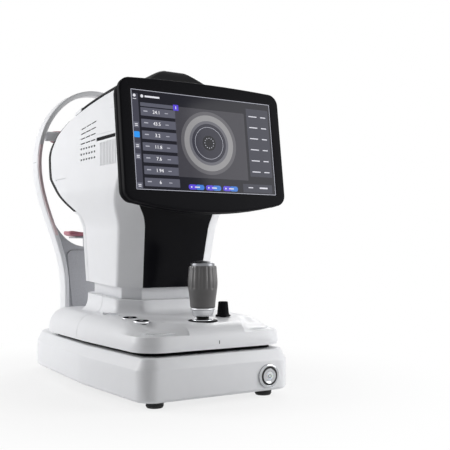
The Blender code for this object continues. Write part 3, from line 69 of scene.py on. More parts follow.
# Base, from its solid
BASE_LOW, BASE_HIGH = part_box("base_shell")
BASE_FRONT = BASE_LOW.y
BASE_DEPTH = BASE_HIGH.y - BASE_LOW.y
BASE_FLOOR = BASE_LOW.z
BASE_TOP = BASE_HIGH.z
BASE_HALF = 121 * MM
BASE_FRONT_DRAW = 4 * MM
BASE_REAR_HALF = 100 * MM
BASE_FRONT_RADIUS = 25 * MM
BASE_REAR_RADIUS = 80 * MM
BASE_BAND = 15 * MM
BASE_BAND_SET = 8 * MM
WIDEST = 190 * MM

# Stage
STAGE_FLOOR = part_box("stage_cover_front")[0].z
STAGE_HALF = BASE_HALF - 4 * MM
STAGE_FRONT = 7 * MM
STAGE_REAR = 378 * MM
STAGE_REAR_HALF = 109 * MM
STAGE_FRONT_DRAW = 3 * MM
STAGE_FRONT_RADIUS = 36 * MM
STAGE_REAR_RADIUS = 45 * MM
STAGE_SPLIT = 216 * MM
STAGE_TOP = 110 * MM
STAGE_RISE = 4.5 * MM
STAGE_LIP = 3 * MM
NECK_SET_IN = 40 * MM
NECK_FLARE = 12 * MM
NECK_HEIGHT = 21.5 * MM
SHOULDER = NECK_SET_IN - NECK_FLARE
NECK_TOP = STAGE_TOP + NECK_HEIGHT

# Controls
JOY_Y = 50 * MM
JOY_COLLAR = 20.5 * MM
JOY_MOUTH = 12.5 * MM
LOCK_X = 50 * MM
LOCK_Y = 76 * MM
BUTTON_X = 80 * MM
BUTTON_RADIUS = 9.5 * MM
CAP_SHARE = 0.86

# Column and head
COLUMN_Z = 149.7 * MM
FOOT_RISE = 5 * MM
COLUMN_HALF = 77 * MM
COLUMN_TAPER = 6 * MM
COLUMN_FRONT = 163.5 * MM
COLUMN_REAR = 287 * MM
COLUMN_LEAN = 20 * MM
COLUMN_CORNER = 14 * MM
CHAMFER_WIDE = 29.5 * MM
CHAMFER_DEEP = 26 * MM
COLUMN_HEIGHT = 100 * MM
BELLY_HEIGHT = 65 * MM
HEAD_HALF = 99 * MM
COLUMN_SPLAY = 5 * MM
FLARE_LOW = 80 * MM
FLARE_HIGH = 146 * MM
HEAD_FRONT = 107 * MM
HEAD_REAR = 376 * MM
FACE_HEIGHT = 202 * MM
SLANT_LOW = 108 * MM
SLANT_HIGH = 168 * MM
SLANT_EDGE = 5 * MM
TOP_FRONT = 280 * MM
TOP_REAR = 255 * MM
TOP_REAR_DRAW = 70 * MM
TOP_SIDE_DRAW = 7 * MM
TOP_RIM = 4.5 * MM
TOP_BOW = 3.5 * MM
ROOF_SLOPE = 0.27
ROOF_PEAK = 0.18
HUMP = 9.5 * MM
HUMP_IN = 26 * MM
HUMP_FLANK = 48 * MM
SHELL_CORNER = 10 * MM
PATIENT_RIM = 12.5 * MM
PATIENT_RIM_TOP = 7 * MM
PATIENT_RIM_STEP = 237 * MM
RIM_WIDE = 14 * MM
RIM_DEEP = 6 * MM
SLEEVE_SET = 10 * MM
EYE_Z = COLUMN_Z + 200 * MM
WINDOW_RADIUS = 31 * MM
LENS_RADIUS = 19 * MM

# Monitor
SCREEN_WIDTH = 222 * MM
SCREEN_HEIGHT = 133 * MM
SCREEN_Y = 39 * MM
SCREEN_Z = 347 * MM
SCREEN_TILT = math.radians(7.5)
SCREEN_SINK = 0.6 * MM
BEZEL_SIDE = 16 * MM
BEZEL_TOP = 12 * MM
BEZEL_BOTTOM = 15 * MM
BEZEL_BOW = 12 * MM
BEZEL_TOP_BOW = 3 * MM
BEZEL_CROWN = 4 * MM
BEZEL_RADIUS = 16 * MM
BEZEL_DEPTH = 8 * MM
BACK_DEPTH = 19 * MM

# Headrest and chinrest
REST_Y = 405 * MM
REST_DEPTH = 25 * MM
REST_HALF = 107 * MM
REST_RISE = 130 * MM
REST_LEG_HALF = 58 * MM
REST_TAPER = 213 * MM
REST_BAND = 8 * MM
DISH_DROP = 142 * MM
DISH_RISE = 40 * MM
PANEL_RECESS = 4 * MM
BAR_LIFT = 46 * MM
BAR_HEIGHT = 16 * MM
BAR_DEPTH = 7 * MM
BAR_BOW = 12 * MM
TRIM_WIDTH = 5 * MM
TRIM_THICK = 2 * MM


def linear(code):
    """Linear red, green and blue of an sRGB hex colour."""
    shares = [int(code[i:i + 2], 16) / 255 for i in (0, 2, 4)]
    return [s / 12.92 if s <= 0.04045 else ((s + 0.055) / 1.055) ** 2.4 for s in shares]


def colour(name, description, code):
    """Colour property that shows its hex default."""
    return FloatVectorProperty(name=name, description=description, default=linear(code), subtype="COLOR",
                               min=0, max=1)


def length(name, description, millimetres):
    """Length property with a default in millimetres."""
    return FloatProperty(name=name, description=description, default=millimetres * MM, unit="LENGTH", min=0)


class FinishSettings(PropertyGroup):
    """Colours of the finishes."""
    white: colour("White shell", "Moulded covers of the base, stage, head and headrest", "EEEFF2")
    black: colour("Black gloss", "Front panel, top cover and patient side of the head", "121216")
    bezel: colour("Bezel", "Frame and back of the monitor", "17171A")
    grey: colour("Dark grey", "Panel between the headrest's legs", "BCBDC2")
    charcoal: colour("Grip", "Barrel of the joystick", "363435")
    rose: colour("Rose", "Soft pads that touch the patient", "B87482")
    # a pale rose, lightened further as painted light to make up for the shade that the strips sit in
    pale_rose: colour("Pale rose", "Thin soft strips on the headrest", "F0DADD")
    silver: colour("Silver", "Ferrule and cap of the joystick", "D4D5D8")
    screen: colour("Screen", "Ground of the picture on the monitor", "1D1D27")
    accent: colour("Accent", "Marked items in the picture on the monitor", "2F8FE6")


class ShellSettings(PropertyGroup):
    """Sizes of the moulded shells."""
    edge: length("Edge", "Rounding along the rims of the moulded shells", 0.8)
    vent_rows: IntProperty(name="Vent rows", description="Rows of vent slots in each side of the head", default=7,
                           min=1, max=12)
    vent_pitch: length("Vent pitch", "Height from one row of vent slots to the next", 8.2)
    rib_pitch: length("Rib pitch", "Spacing of the fine ribs under the side slot", 4.6)
    scoop: length("Scoop", "Depth of the finger scoop in the stage's front left edge", 8)


class ControlSettings(PropertyGroup):
    """Sizes of the controls."""
    flutes: IntProperty(name="Flutes", description="Grooves round the joystick's barrel", default=18, min=3, max=60)
    flute_depth: length("Flute depth", "Depth of the grooves in the joystick's barrel", 0.7)
    rim: length("Button rim", "Width of the bright rims round the chinrest buttons", 1.3)


class StudioSettings(PropertyGroup):
    """Floor, lamps and camera."""
    floor: colour("Floor", "Plain pale floor", "F7F7F7")
    key: FloatProperty(name="Key lamp", description="Power of the large lamp behind on the left", default=23.5,
                       unit="POWER")
    fill: FloatProperty(name="Fill lamp", description="Power of the near lamp in front on the right", default=5.6,
                        unit="POWER")
    rim: FloatProperty(name="Rim lamp", description="Power of the lamp behind on the right", default=11, unit="POWER")
    lens: FloatProperty(name="Lens", description="Focal length of the camera in millimetres", default=63.9)


def finishes():
    return bpy.context.scene.instrument_finishes


def shells():
    return bpy.context.scene.instrument_shells


def controls():
    return bpy.context.scene.instrument_controls


# Materials

def add_node(material, kind, inputs=None, **settings):
    """Add a node; each input is a value or another node's output."""
    node = material.node_tree.nodes.new(kind)
    for name, value in settings.items():
        setattr(node, name, value)
    for name, value in (inputs or {}).items():
        if isinstance(value, bpy.types.NodeSocket):
            material.node_tree.links.new(value, node.inputs[name])
        else:
            node.inputs[name].default_value = value
    return node


def blank(name, **sockets):
    """Material with the constants that are the same all over its surface."""
    material = bpy.data.materials.new(name)
    material.use_nodes = True
    shader = material.node_tree.nodes["Principled BSDF"]
    for socket, value in sockets.items():
        shader.inputs[socket.replace("_", " ")].default_value = value
    return material


def dress(material, pattern, dark, light, smooth, rough, relief=0.0):
    """Let one pattern vary the tone, the gloss and, where given, the relief of a surface."""
    shader = material.node_tree.nodes["Principled BSDF"]
    link = material.node_tree.links.new
    tone = add_node(material, "ShaderNodeMixRGB", {"Fac": pattern, "Color1": (*dark, 1), "Color2": (*light, 1)})
    gloss = add_node(material, "ShaderNodeMapRange", {"Value": pattern, "To Min": smooth, "To Max": rough})
    link(tone.outputs["Color"], shader.inputs["Base Color"])
    link(gloss.outputs["Result"], shader.inputs["Roughness"])
    if relief:
        bump = add_node(material, "ShaderNodeBump", {"Height": pattern, "Distance": relief, "Strength": 0.6})
        link(bump.outputs["Normal"], shader.inputs["Normal"])
    return material


def scaled(rgb, share):
    return [min(1.0, c * share) for c in rgb]


def grain(material, size, detail=3.0, stretch=(1, 1, 1)):
    """Noise on the piece's own place, with grains of a real size in metres."""
    place = add_node(material, "ShaderNodeTexCoord")
    turned_to = add_node(material, "ShaderNodeMapping", {"Vector": place.outputs["Object"], "Scale": stretch})
    noise = add_node(material, "ShaderNodeTexNoise", {"Vector": turned_to.outputs["Vector"], "Scale": 0.5 / size,
                                                      "Detail": detail})
    return noise.outputs["Fac"]


def white_abs():
    """ABS, injection moulded in a polished tool: clean, glossy, with a faint waviness in its highlights."""
    base = finishes().white
    material = blank("ABS moulded gloss white", IOR=1.5, Specular_IOR_Level=0.3, Coat_Weight=0.05, Coat_Roughness=0.2)
    return dress(material, grain(material, 9 * MM), scaled(base, 0.965), base, 0.3, 0.42, 0.02 * MM)


def black_gloss():
    """PMMA, moulded and polished: deep black that mirrors the room, with fine dust in the gloss."""
    base = finishes().black
    material = blank("PMMA polished black", IOR=1.49, Specular_IOR_Level=0.07)
    return dress(material, grain(material, 6 * MM, 6), scaled(base, 0.7), base, 0.16, 0.28)


def black_satin():
    """ABS, moulded in a spark-eroded tool: black with a fine even grain that breaks up highlights."""
    base = finishes().bezel
    material = blank("ABS spark-eroded black", IOR=1.5, Specular_IOR_Level=0.03)
    return dress(material, grain(material, 0.9 * MM), scaled(base, 0.72), scaled(base, 1.15), 0.45, 0.6, 0.04 * MM)


def dark_grey():
    """ABS, moulded with a leather-like grain: matt dark grey with a soft sheen."""
    base = finishes().grey
    material = blank("ABS grained dark grey", IOR=1.5)
    return dress(material, grain(material, 1.2 * MM), scaled(base, 0.82), scaled(base, 1.08), 0.45, 0.6, 0.05 * MM)


def grip_rubber():
    """Soft-touch elastomer over the joystick: dull charcoal, a little paler where hands polish it."""
    base = finishes().charcoal
    material = blank("Elastomer soft-touch charcoal", IOR=1.48, Specular_IOR_Level=0.8, Sheen_Weight=0.15, Sheen_Roughness=0.5)
    return dress(material, grain(material, 2.2 * MM, 5), scaled(base, 0.8), scaled(base, 1.2), 0.32, 0.46, 0.03 * MM)


def rose_silicone():
    """Silicone rubber, moulded: rose, slightly milky, matt with a soft edge glow."""
    base = finishes().rose
    material = blank("Silicone moulded rose", IOR=1.42, Subsurface_Weight=0.12, Subsurface_Scale=1.5 * MM,
                     Sheen_Weight=0.2)
    return dress(material, grain(material, 1.6 * MM), scaled(base, 0.88), scaled(base, 1.06), 0.5, 0.64, 0.03 * MM)


def rose_strip():
    """Silicone rubber, extruded thin: a pale rose, lightened further as painted light to make up for the shade that the
    strips sit in.
    """
    base = finishes().pale_rose
    material = blank("Silicone extruded pale rose", IOR=1.42, Sheen_Weight=0.2)
    return dress(material, grain(material, 2 * MM), scaled(base, 0.9), scaled(base, 1.04), 0.45, 0.6, 0.03 * MM)


def foot_rubber():
    """Nitrile rubber, moulded: matt black with a dusty bloom."""
    material = blank("Nitrile rubber moulded black", IOR=1.52)
    return dress(material, grain(material, 2.5 * MM), linear("101011"), linear("232324"), 0.7, 0.85, 0.05 * MM)


def turned_aluminium():
    """Aluminium, turned and anodised satin: fine rings from the lathe that spread the highlight."""
    base = finishes().silver
    material = blank("Aluminium turned satin", Metallic=1.0)
    rings = grain(material, 6 * MM, 2, (1, 1, 24))
    return dress(material, rings, scaled(base, 0.86), base, 0.34, 0.48, 0.01 * MM)


def aluminium_painted_dark():
    """Aluminium, turned: darker than the ferrule's metal, a painted reflection of dark surroundings, with the same fine
    rings.
    """
    material = blank("Aluminium painted dark reflection", Metallic=1.0)
    rings = grain(material, 6 * MM, 2, (1, 1, 24))
    return dress(material, rings, linear("6E6F72"), linear("85868A"), 0.3, 0.42, 0.01 * MM)


def chrome():
    """Brass, plated with polished chromium: a clear mirror, faintly hazed by handling."""
    material = blank("Brass polished chrome", Metallic=1.0)
    return dress(material, grain(material, 3 * MM, 5), linear("A6A8AB"), linear("C4C6C9"), 0.05, 0.14)


def ground_steel():
    """Steel, ground: cool grey with short scratches along the piece."""
    material = blank("Steel ground", Metallic=1.0)
    return dress(material, grain(material, 5 * MM, 4, (30, 1, 1)), linear("8D9093"), linear("BFC2C5"), 0.24, 0.4)


def cast_aluminium():
    """Aluminium, die-cast and bead-blasted: pale grey and finely pitted."""
    material = blank("Aluminium die-cast blasted", Metallic=1.0)
    return dress(material, grain(material, 0.8 * MM), linear("9B9DA0"), linear("C3C5C7"), 0.42, 0.58, 0.06 * MM)


def coated_glass():
    """Optical glass with a violet anti-reflection coating over a dark barrel."""
    material = blank("Glass coated violet", IOR=1.52, Coat_Weight=1.0, Coat_Roughness=0.02,
                     Coat_Tint=(*linear("9C8CFF"), 1))
    return dress(material, grain(material, 8 * MM), linear("05060C"), linear("0E0A1E"), 0.03, 0.06)


def display_glass():
    """Cover glass of the display, black round the lit picture."""
    material = blank("Glass display black", IOR=1.52, Specular_IOR_Level=0.1)
    return dress(material, grain(material, 10 * MM), linear("08080C"), linear("101016"), 0.06, 0.12)


def frosted_cap():
    """Polycarbonate, moulded and frosted: the pale disc of the power button, lit from behind."""
    material = blank("Polycarbonate frosted pale", IOR=1.58, Subsurface_Weight=0.2, Subsurface_Scale=1 * MM)
    return dress(material, grain(material, 1 * MM), linear("DADDE0"), linear("F4F5F6"), 0.3, 0.45)


def dark_mark():
    """Pad-printed ink for the marks on the shells: thin, matt and slightly uneven."""
    material = blank("Ink pad-printed grey", IOR=1.5)
    return dress(material, grain(material, 0.6 * MM), linear("2C2D30"), linear("3C3D41"), 0.5, 0.65)


def lit(name, code, strength=0.85):
    """Part of the lit picture: colour from the display behind glossy glass."""
    tint = linear(code)
    material = blank(name, IOR=1.52, Specular_IOR_Level=0.1, Emission_Strength=strength, Emission_Color=(*tint, 1))
    return dress(material, grain(material, 4 * MM), scaled(tint, 0.25), scaled(tint, 0.35), 0.08, 0.14)


def surface(make):
    """The material that a function makes, made once."""
    known = surface.known
    if make not in known:
        known[make] = make()
    return known[make]


surface.known = {}


# Shapes

def back(distance):
    """Y of a place this far behind the front face of the base."""
    return BASE_FRONT + distance


def ease(t):
    """Smooth step from 0 to 1."""
    t = min(1.0, max(0.0, t))
    return t * t * (3 - 2 * t)


def mix(a, b, t):
    return a + (b - a) * t


def mirrored(half):
    """Corners (x, y, radius) of the +X side, front to rear, completed with their mirror images."""
    return half + [(-x, y, radius) for x, y, radius in reversed(half)]


def inset(corners, distance):
    """Corners of the same outline moved inwards; a negative distance moves them out."""
    moved = []
    for i, (x, y, radius) in enumerate(corners):
        here = Vector((x, y))
        into = (here - Vector(corners[i - 1][:2])).normalized()
        out = (Vector(corners[(i + 1) % len(corners)][:2]) - here).normalized()
        left_in = Vector((-into.y, into.x))
        left_out = Vector((-out.y, out.x))
        shift = (left_in + left_out) * distance / (1 + left_in.dot(left_out))
        moved.append((x + shift.x, y + shift.y, max(radius - distance, MM)))
    return moved


def fillet(last, here, following, radius, steps):
    """Points of the arc that rounds one corner of a line."""
    here = Vector(here)
    to_last = (Vector(last) - here).normalized()
    to_next = (Vector(following) - here).normalized()
    half = to_last.angle(to_next) / 2
    centre = here + (to_last + to_next).normalized() * radius / math.sin(half)
    first = here + to_last * radius / math.tan(half) - centre
    turn = first.angle_signed(here + to_next * radius / math.tan(half) - centre)
    return [centre + Matrix.Rotation(-turn * k / steps, 2) @ first for k in range(steps + 1)]


def rounded(corners, steps=10, between=0):
    """Outline with an arc at every corner, and points between the arcs where they are asked for."""
    arcs = []
    for i, (x, y, radius) in enumerate(corners):
        arcs.append(fillet(corners[i - 1][:2], (x, y), corners[(i + 1) % len(corners)][:2], radius, steps))
    outline = []
    for arc, follower in zip(arcs, arcs[1:] + arcs[:1]):
        outline += arc
        outline += [arc[-1].lerp(follower[0], k / (between + 1)) for k in range(1, between + 1)]
    return outline


def profile(corners, steps=4):
    """Open line through corners (across, up, radius); a corner without a radius stays sharp."""
    line = []
    for i, (x, y, radius) in enumerate(corners):
        if radius:
            line += fillet(corners[i - 1][:2], (x, y), corners[i + 1][:2], radius, steps)
        else:
            line.append(Vector((x, y)))
    return line


def ring(corners, z, steps=10, between=0):
    return [Vector((p.x, p.y, z)) for p in rounded(corners, steps, between)]


def pairs_of(verts, closed):
    pairs = list(zip(verts, verts[1:]))
    return pairs + [(verts[-1], verts[0])] if closed else pairs


def carry(bm, verts, points, closed):
    """Extrude a line of vertices and set the new line on the given points."""
    edges = [bm.edges.get(pair) for pair in pairs_of(verts, closed)]
    made = bmesh.ops.extrude_edge_only(bm, edges=edges)["geom"]
    fresh = {item for item in made if isinstance(item, bmesh.types.BMVert)}
    line = []
    for vert, point in zip(verts, points):
        twin = next(e.other_vert(vert) for e in vert.link_edges if e.other_vert(vert) in fresh)
        twin.co = point
        line.append(twin)
    return line


def swept(rows, closed=True, caps=(False, False), joined=False):
    """Surface extruded through rows of points; it may be capped at its ends, or joined end to start."""
    bm = bmesh.new()
    first = [bm.verts.new(p) for p in rows[0]]
    for pair in pairs_of(first, closed):
        bm.edges.new(pair)
    last = first
    for points in rows[1:]:
        last = carry(bm, last, points, closed)
    if joined:
        ends = [bm.edges.get(pair) for line in (first, last) for pair in pairs_of(line, closed)]
        bmesh.ops.bridge_loops(bm, edges=ends)
    for line, wanted in zip((first, last), caps):
        if wanted:
            bmesh.ops.contextual_create(bm, geom=line)
    bmesh.ops.recalc_face_normals(bm, faces=bm.faces)
    return bm


def facing(bm, way):
    """Turn an open surface so that most of it faces a direction."""
    way = Vector(way)
    if sum(f.normal.dot(way) * f.calc_area() for f in bm.faces) < 0:
        bmesh.ops.reverse_faces(bm, faces=bm.faces)
    return bm


def turned(profile, segments=64, closed=False):
    """Profile of (radius, height) points spun round Z."""
    bm = bmesh.new()
    points = [bm.verts.new((radius, 0, height)) for radius, height in profile]
    edges = [bm.edges.new(pair) for pair in pairs_of(points, closed)]
    bmesh.ops.spin(bm, geom=points + edges, cent=(0, 0, 0), axis=(0, 0, 1), angle=2 * math.pi, steps=segments,
                   use_merge=True)
    bmesh.ops.remove_doubles(bm, verts=bm.verts, dist=1e-6)
    bmesh.ops.recalc_face_normals(bm, faces=bm.faces)
    return bm


def placed(bm, matrix):
    bm.transform(matrix)
    return bm


def upright(x, y, z=0.0):
    return Matrix.Translation((x, y, z))


def to_operator(x, y, z):
    """Turns a shape that stands on Z so that it points to -Y."""
    return Matrix.Translation((x, y, z)) @ Matrix.Rotation(math.radians(90), 4, "X")


def slab(outline, depth):
    """Flat outline of points carried along a vector."""
    bm = bmesh.new()
    face = bm.faces.new([bm.verts.new(p) for p in outline])
    moved = bmesh.ops.extrude_face_region(bm, geom=[face])["geom"]
    bmesh.ops.translate(bm, vec=depth, verts=[v for v in moved if isinstance(v, bmesh.types.BMVert)])
    bmesh.ops.recalc_face_normals(bm, faces=bm.faces)
    return bm


def merged(shapes):
    """Several shapes in one bmesh."""
    whole = bmesh.new()
    for shape in shapes:
        mesh = bpy.data.meshes.new("part")
        shape.to_mesh(mesh)
        shape.free()
        whole.from_mesh(mesh)
        bpy.data.meshes.remove(mesh)
    return whole


def stadium(wide, high, steps=5):
    """Points of a slot with round ends, in a plane."""
    radius = min(wide, high) / 2
    corners = [(wide / 2, -high / 2), (wide / 2, high / 2), (-wide / 2, high / 2), (-wide / 2, -high / 2)]
    return rounded([(x, y, 0.999 * radius) for x, y in corners], steps)


def tablet(wide, high, front, rear, x=0.0, z=0.0, radius=None):
    """Flat tablet in XZ from one depth to another, with round ends or the given corner radius."""
    if radius is None:
        flat = stadium(wide, high)
    else:
        half = wide / 2
        rise = high / 2
        flat = rounded([(half, -rise, radius), (half, rise, radius), (-half, rise, radius), (-half, -rise, radius)], 4)
    return slab([Vector((x + p.x, front, z + p.y)) for p in flat], Vector((0, rear - front, 0)))


# Pieces

def settle(piece):
    """Make a piece's mesh what its modifiers give."""
    graph = bpy.context.evaluated_depsgraph_get()
    result = bpy.data.meshes.new_from_object(piece.evaluated_get(graph))
    piece.modifiers.clear()
    old = piece.data
    piece.data = result
    result.name = piece.name
    bpy.data.meshes.remove(old)


def thicken(piece, wall):
    change = piece.modifiers.new("wall", "SOLIDIFY")
    change.thickness = wall
    change.offset = -1


def soften(piece, edge, segments=2, angle=40):
    change = piece.modifiers.new("edge", "BEVEL")
    change.width = edge
    change.segments = segments
    change.limit_method = "ANGLE"
    change.angle_limit = math.radians(angle)
    change.harden_normals = True


def subdivide(piece, levels):
    change = piece.modifiers.new("smooth", "SUBSURF")
    change.levels = levels
    change.render_levels = levels


def pierce(piece, *tools):
    """Cut holes of the given shapes through a piece."""
    for tool in tools:
        mesh = bpy.data.meshes.new("tool")
        tool.to_mesh(mesh)
        tool.free()
        cutter = bpy.data.objects.new("tool", mesh)
        bpy.context.scene.collection.objects.link(cutter)
        change = piece.modifiers.new("hole", "BOOLEAN")
        change.operation = "DIFFERENCE"
        change.solver = "EXACT"
        change.object = cutter
        settle(piece)
        bpy.data.objects.remove(cutter)
        bpy.data.meshes.remove(mesh)


def put(name, bm, material, body, stands_for=(), slot=None, sharp=35):
    """New piece that rides on a body, and the nodes that it stands for."""
    mesh = bpy.data.meshes.new(name)
    bm.to_mesh(mesh)
    bm.free()
    mesh.materials.append(material)
    mesh.shade_smooth()
    mesh.set_sharp_from_angle(angle=math.radians(sharp))
    piece = bpy.data.objects.new(name, mesh)
    bpy.context.scene.collection.objects.link(piece)
    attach(piece, body)
    if stands_for:
        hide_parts(*stands_for)
    return piece


def refine(node, material, edge=0.0):
    """Give a solid that stays its finish, with its loose triangles joined and its edges broken."""
    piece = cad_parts[node]
    piece.data.materials.clear()
    piece.data.materials.append(material)
    if edge:
        weld = piece.modifiers.new("join", "WELD")
        weld.merge_threshold = 0.01 * MM
        soften(piece, edge)


# Outlines that the shells share

def base_corners(distance=0.0):
    return inset(mirrored([
        (BASE_HALF - BASE_FRONT_DRAW, back(0), BASE_FRONT_RADIUS),
        (BASE_HALF, back(WIDEST), BASE_DEPTH / 2),
        (BASE_REAR_HALF, back(BASE_DEPTH), BASE_REAR_RADIUS)]), distance)


def stage_corners(distance=0.0):
    return inset(mirrored([
        (STAGE_HALF - STAGE_FRONT_DRAW, back(STAGE_FRONT), STAGE_FRONT_RADIUS),
        (STAGE_HALF, back(WIDEST), STAGE_REAR / 2),
        (STAGE_REAR_HALF, back(STAGE_REAR), STAGE_REAR_RADIUS)]), distance)


def column_corners(distance=0.0):
    return inset(mirrored([
        (COLUMN_HALF - CHAMFER_WIDE, back(COLUMN_FRONT - CHAMFER_DEEP), COLUMN_CORNER),
        (COLUMN_HALF, back(COLUMN_FRONT), COLUMN_CORNER),
        (COLUMN_HALF - COLUMN_TAPER, back(COLUMN_REAR), COLUMN_CORNER)]), distance)


def stage_height(y):
    """Height of the stage's top, which climbs from its front edge to the foot of the neck."""
    start = back(STAGE_FRONT + SHOULDER)
    end = back(COLUMN_FRONT - CHAMFER_DEEP - NECK_FLARE)
    return STAGE_TOP - STAGE_RISE * (1 - min(1, max(0, (y - start) / (end - start))))


def flare(height):
    """Share of the way from the nearly straight column to the head's full width."""
    return ease((height - FLARE_LOW) / (FLARE_HIGH - FLARE_LOW))


def head_half(height):
    top = max(0.0, height - FACE_HEIGHT) / (TOP_FRONT - FACE_HEIGHT)
    column = COLUMN_HALF + COLUMN_SPLAY * min(1, height / FLARE_LOW)
    return mix(column, HEAD_HALF, flare(height)) - TOP_SIDE_DRAW * top ** 2


def head_front(height):
    lean = COLUMN_FRONT - COLUMN_LEAN * min(1, height / COLUMN_HEIGHT)
    return mix(lean, HEAD_FRONT, ease((height - COLUMN_HEIGHT) / BELLY_HEIGHT))


def head_rear(height):
    """Distance of the head's rear, which slants out from the column to a soft edge and draws in again at the top."""
    edge = HEAD_REAR - SLANT_EDGE
    if height <= SLANT_HIGH:
        slant = max(0, (height - SLANT_LOW) / (SLANT_HIGH - SLANT_LOW))
        return mix(COLUMN_REAR, edge, slant ** 0.88)
    if height <= FACE_HEIGHT:
        below = (FACE_HEIGHT - height) / (FACE_HEIGHT - SLANT_HIGH)
        return mix(HEAD_REAR, edge, below ** 2)
    return HEAD_REAR - TOP_REAR_DRAW * ((height - FACE_HEIGHT) / (TOP_REAR - FACE_HEIGHT)) ** 2


def rear_height(height):
    if height <= COLUMN_HEIGHT:
        return height + FOOT_RISE * (1 - height / COLUMN_HEIGHT)
    if height <= FACE_HEIGHT:
        return height
    return mix(FACE_HEIGHT, TOP_REAR, (height - FACE_HEIGHT) / (TOP_FRONT - FACE_HEIGHT))


def rear_half(height):
    return head_half(height) - COLUMN_TAPER * (1 - flare(height))


def patient_rim(height):
    """Width of the dark edge that the patient's panel shows on each side."""
    return mix(PATIENT_RIM, PATIENT_RIM_TOP, ease((height - PATIENT_RIM_STEP) / (14 * MM)))


def panel_edge(height):
    up = ease((height - COLUMN_HEIGHT) / BELLY_HEIGHT)
    return (head_half(height) - mix(CHAMFER_WIDE, RIM_WIDE, up),
            head_front(height) - mix(CHAMFER_DEEP, RIM_DEEP, up))


def head_point(height, x, distance):
    """Point of the head; its top falls to the rear in a slight bow."""
    front = head_front(height)
    along = (distance - front) / (head_rear(rear_height(height)) - front)
    bow = TOP_BOW * max(0, (height - FACE_HEIGHT) / (TOP_FRONT - FACE_HEIGHT)) * max(0, 4 * along * (1 - along))
    return Vector((x, back(distance), COLUMN_Z + mix(height, rear_height(height), along) + bow))


def head_rows(low=0.0, high=TOP_FRONT, count=56):
    return [mix(low, high, k / count) for k in range(count + 1)]


def side_place(y, z, sink=0.0):
    """Place on the head's left side, and a turn that lays a shape facing -Y on it."""
    half = head_half(z - COLUMN_Z) - sink
    return Matrix.Translation((-half, y, z)) @ Matrix.Rotation(math.radians(-90), 4, "Z")


def monitor_place():
    return Matrix.Translation((0, back(SCREEN_Y), SCREEN_Z)) @ Matrix.Rotation(-SCREEN_TILT, 4, "X")


def face_outline(grow, crown=0.0, steps=10, along=12):
    """Screen-shaped outline grown by its margins; its upper and lower edges bow out."""
    half = SCREEN_WIDTH / 2 + grow * BEZEL_SIDE
    top = SCREEN_HEIGHT / 2 + grow * (BEZEL_TOP + crown)
    bottom = -SCREEN_HEIGHT / 2 - grow * BEZEL_BOTTOM
    radius = max(grow * BEZEL_RADIUS, SEAT)
    corners = [(half, bottom, radius), (half, top, radius), (-half, top, radius), (-half, bottom, radius)]
    arcs = rounded(corners, steps)
    half_way = len(arcs) // 2
    reach = half - radius
    edge = [-reach + 2 * reach * k / along for k in range(1, along)]
    upper = [Vector((-x, top + grow * BEZEL_TOP_BOW * (1 - (x / reach) ** 2))) for x in edge]
    lower = [Vector((x, bottom - grow * BEZEL_BOW * (1 - (x / reach) ** 2))) for x in edge]
    return arcs[:half_way] + upper + arcs[half_way:] + lower


def face_ring(outline, depth, share=1.0):
    place = monitor_place()
    return [place @ Vector((p.x * share, depth, p.y * share)) for p in outline]


def rest_half(z):
    if z >= EYE_Z:
        return REST_HALF * math.sqrt(max(0.0, 1 - ((z - EYE_Z) / REST_RISE) ** 2))
    return mix(REST_LEG_HALF, REST_HALF, 0.5 + 0.5 * math.cos(math.pi * min(1, (EYE_Z - z) / REST_TAPER)))


def rest_inner(z):
    step = 0.5 * MM
    slope = (rest_half(z + step) - rest_half(z - step)) / (2 * step)
    return rest_half(z) - REST_BAND * math.sqrt(1 + slope * slope) - RUN


def rest_path(legs=30, arch=48):
    """Outside of the headrest's band, from the left foot over the top to the right foot."""
    foot = BASE_TOP + SEAT
    left = [(-rest_half(z), z) for z in [mix(foot, EYE_Z, k / legs) for k in range(legs)]]
    crown = []
    for k in range(arch + 1):
        angle = math.pi * (1 - k / arch)
        crown.append((REST_HALF * math.cos(angle), EYE_Z + REST_RISE * math.sin(angle)))
    return [Vector(p) for p in left + crown + [(-x, z) for x, z in reversed(left)]]


def outward(path, i):
    """Direction square to a path, to its left."""
    along = path[min(i + 1, len(path) - 1)] - path[max(i - 1, 0)]
    along.normalize()
    return Vector((-along.y, along.x))


def band_ring(path, i, out, deep, start, end, edge, steps=3):
    """Section of a band at a point of its path, with rounded edges."""
    way = outward(path, i)
    if i in (0, len(path) - 1) and abs(way.x) > 0.9:
        way = Vector((math.copysign(1, way.x), 0))
    corners = [(out, start, edge), (out, end, edge), (deep, end, edge), (deep, start, edge)]
    points = []
    for p in rounded(corners, steps):
        place = path[i] + way * p.x
        points.append(Vector((place.x, p.y, place.y)))
    return points


# Operators

class INSTRUMENT_OT_solids(Operator):
    """Finishes of the solids that show as they are, inside the shells and behind them"""
    bl_idname = "instrument.solids"
    bl_label = "Solids"

    def execute(self, context):
        steel = ("base_plate", "rack_left", "rack_right", "pinion_left", "pinion_right", "cross_axle",
                 "cross_rod_front", "cross_rod_rear", "lift_frame", "lift_screw", "power_supply", "chin_rail")
        for node in steel:
            refine(node, surface(ground_steel), 0.15 * MM)
        for node in ("carriage_frame", "stage_plate", "head_chassis"):
            refine(node, surface(cast_aluminium), 0.3 * MM)
        for node in ("slide_deck", "lift_motor", "optical_tube", "joystick_gimbal", "mains_inlet"):
            refine(node, surface(black_satin), 0.3 * MM)
        for node in ("monitor_arm", "monitor_knuckle"):
            refine(node, surface(black_satin), 0.8 * MM)
        refine("chin_slider", surface(dark_grey), 0.6 * MM)
        refine("screen_panel", surface(display_glass))
        return {"FINISHED"}


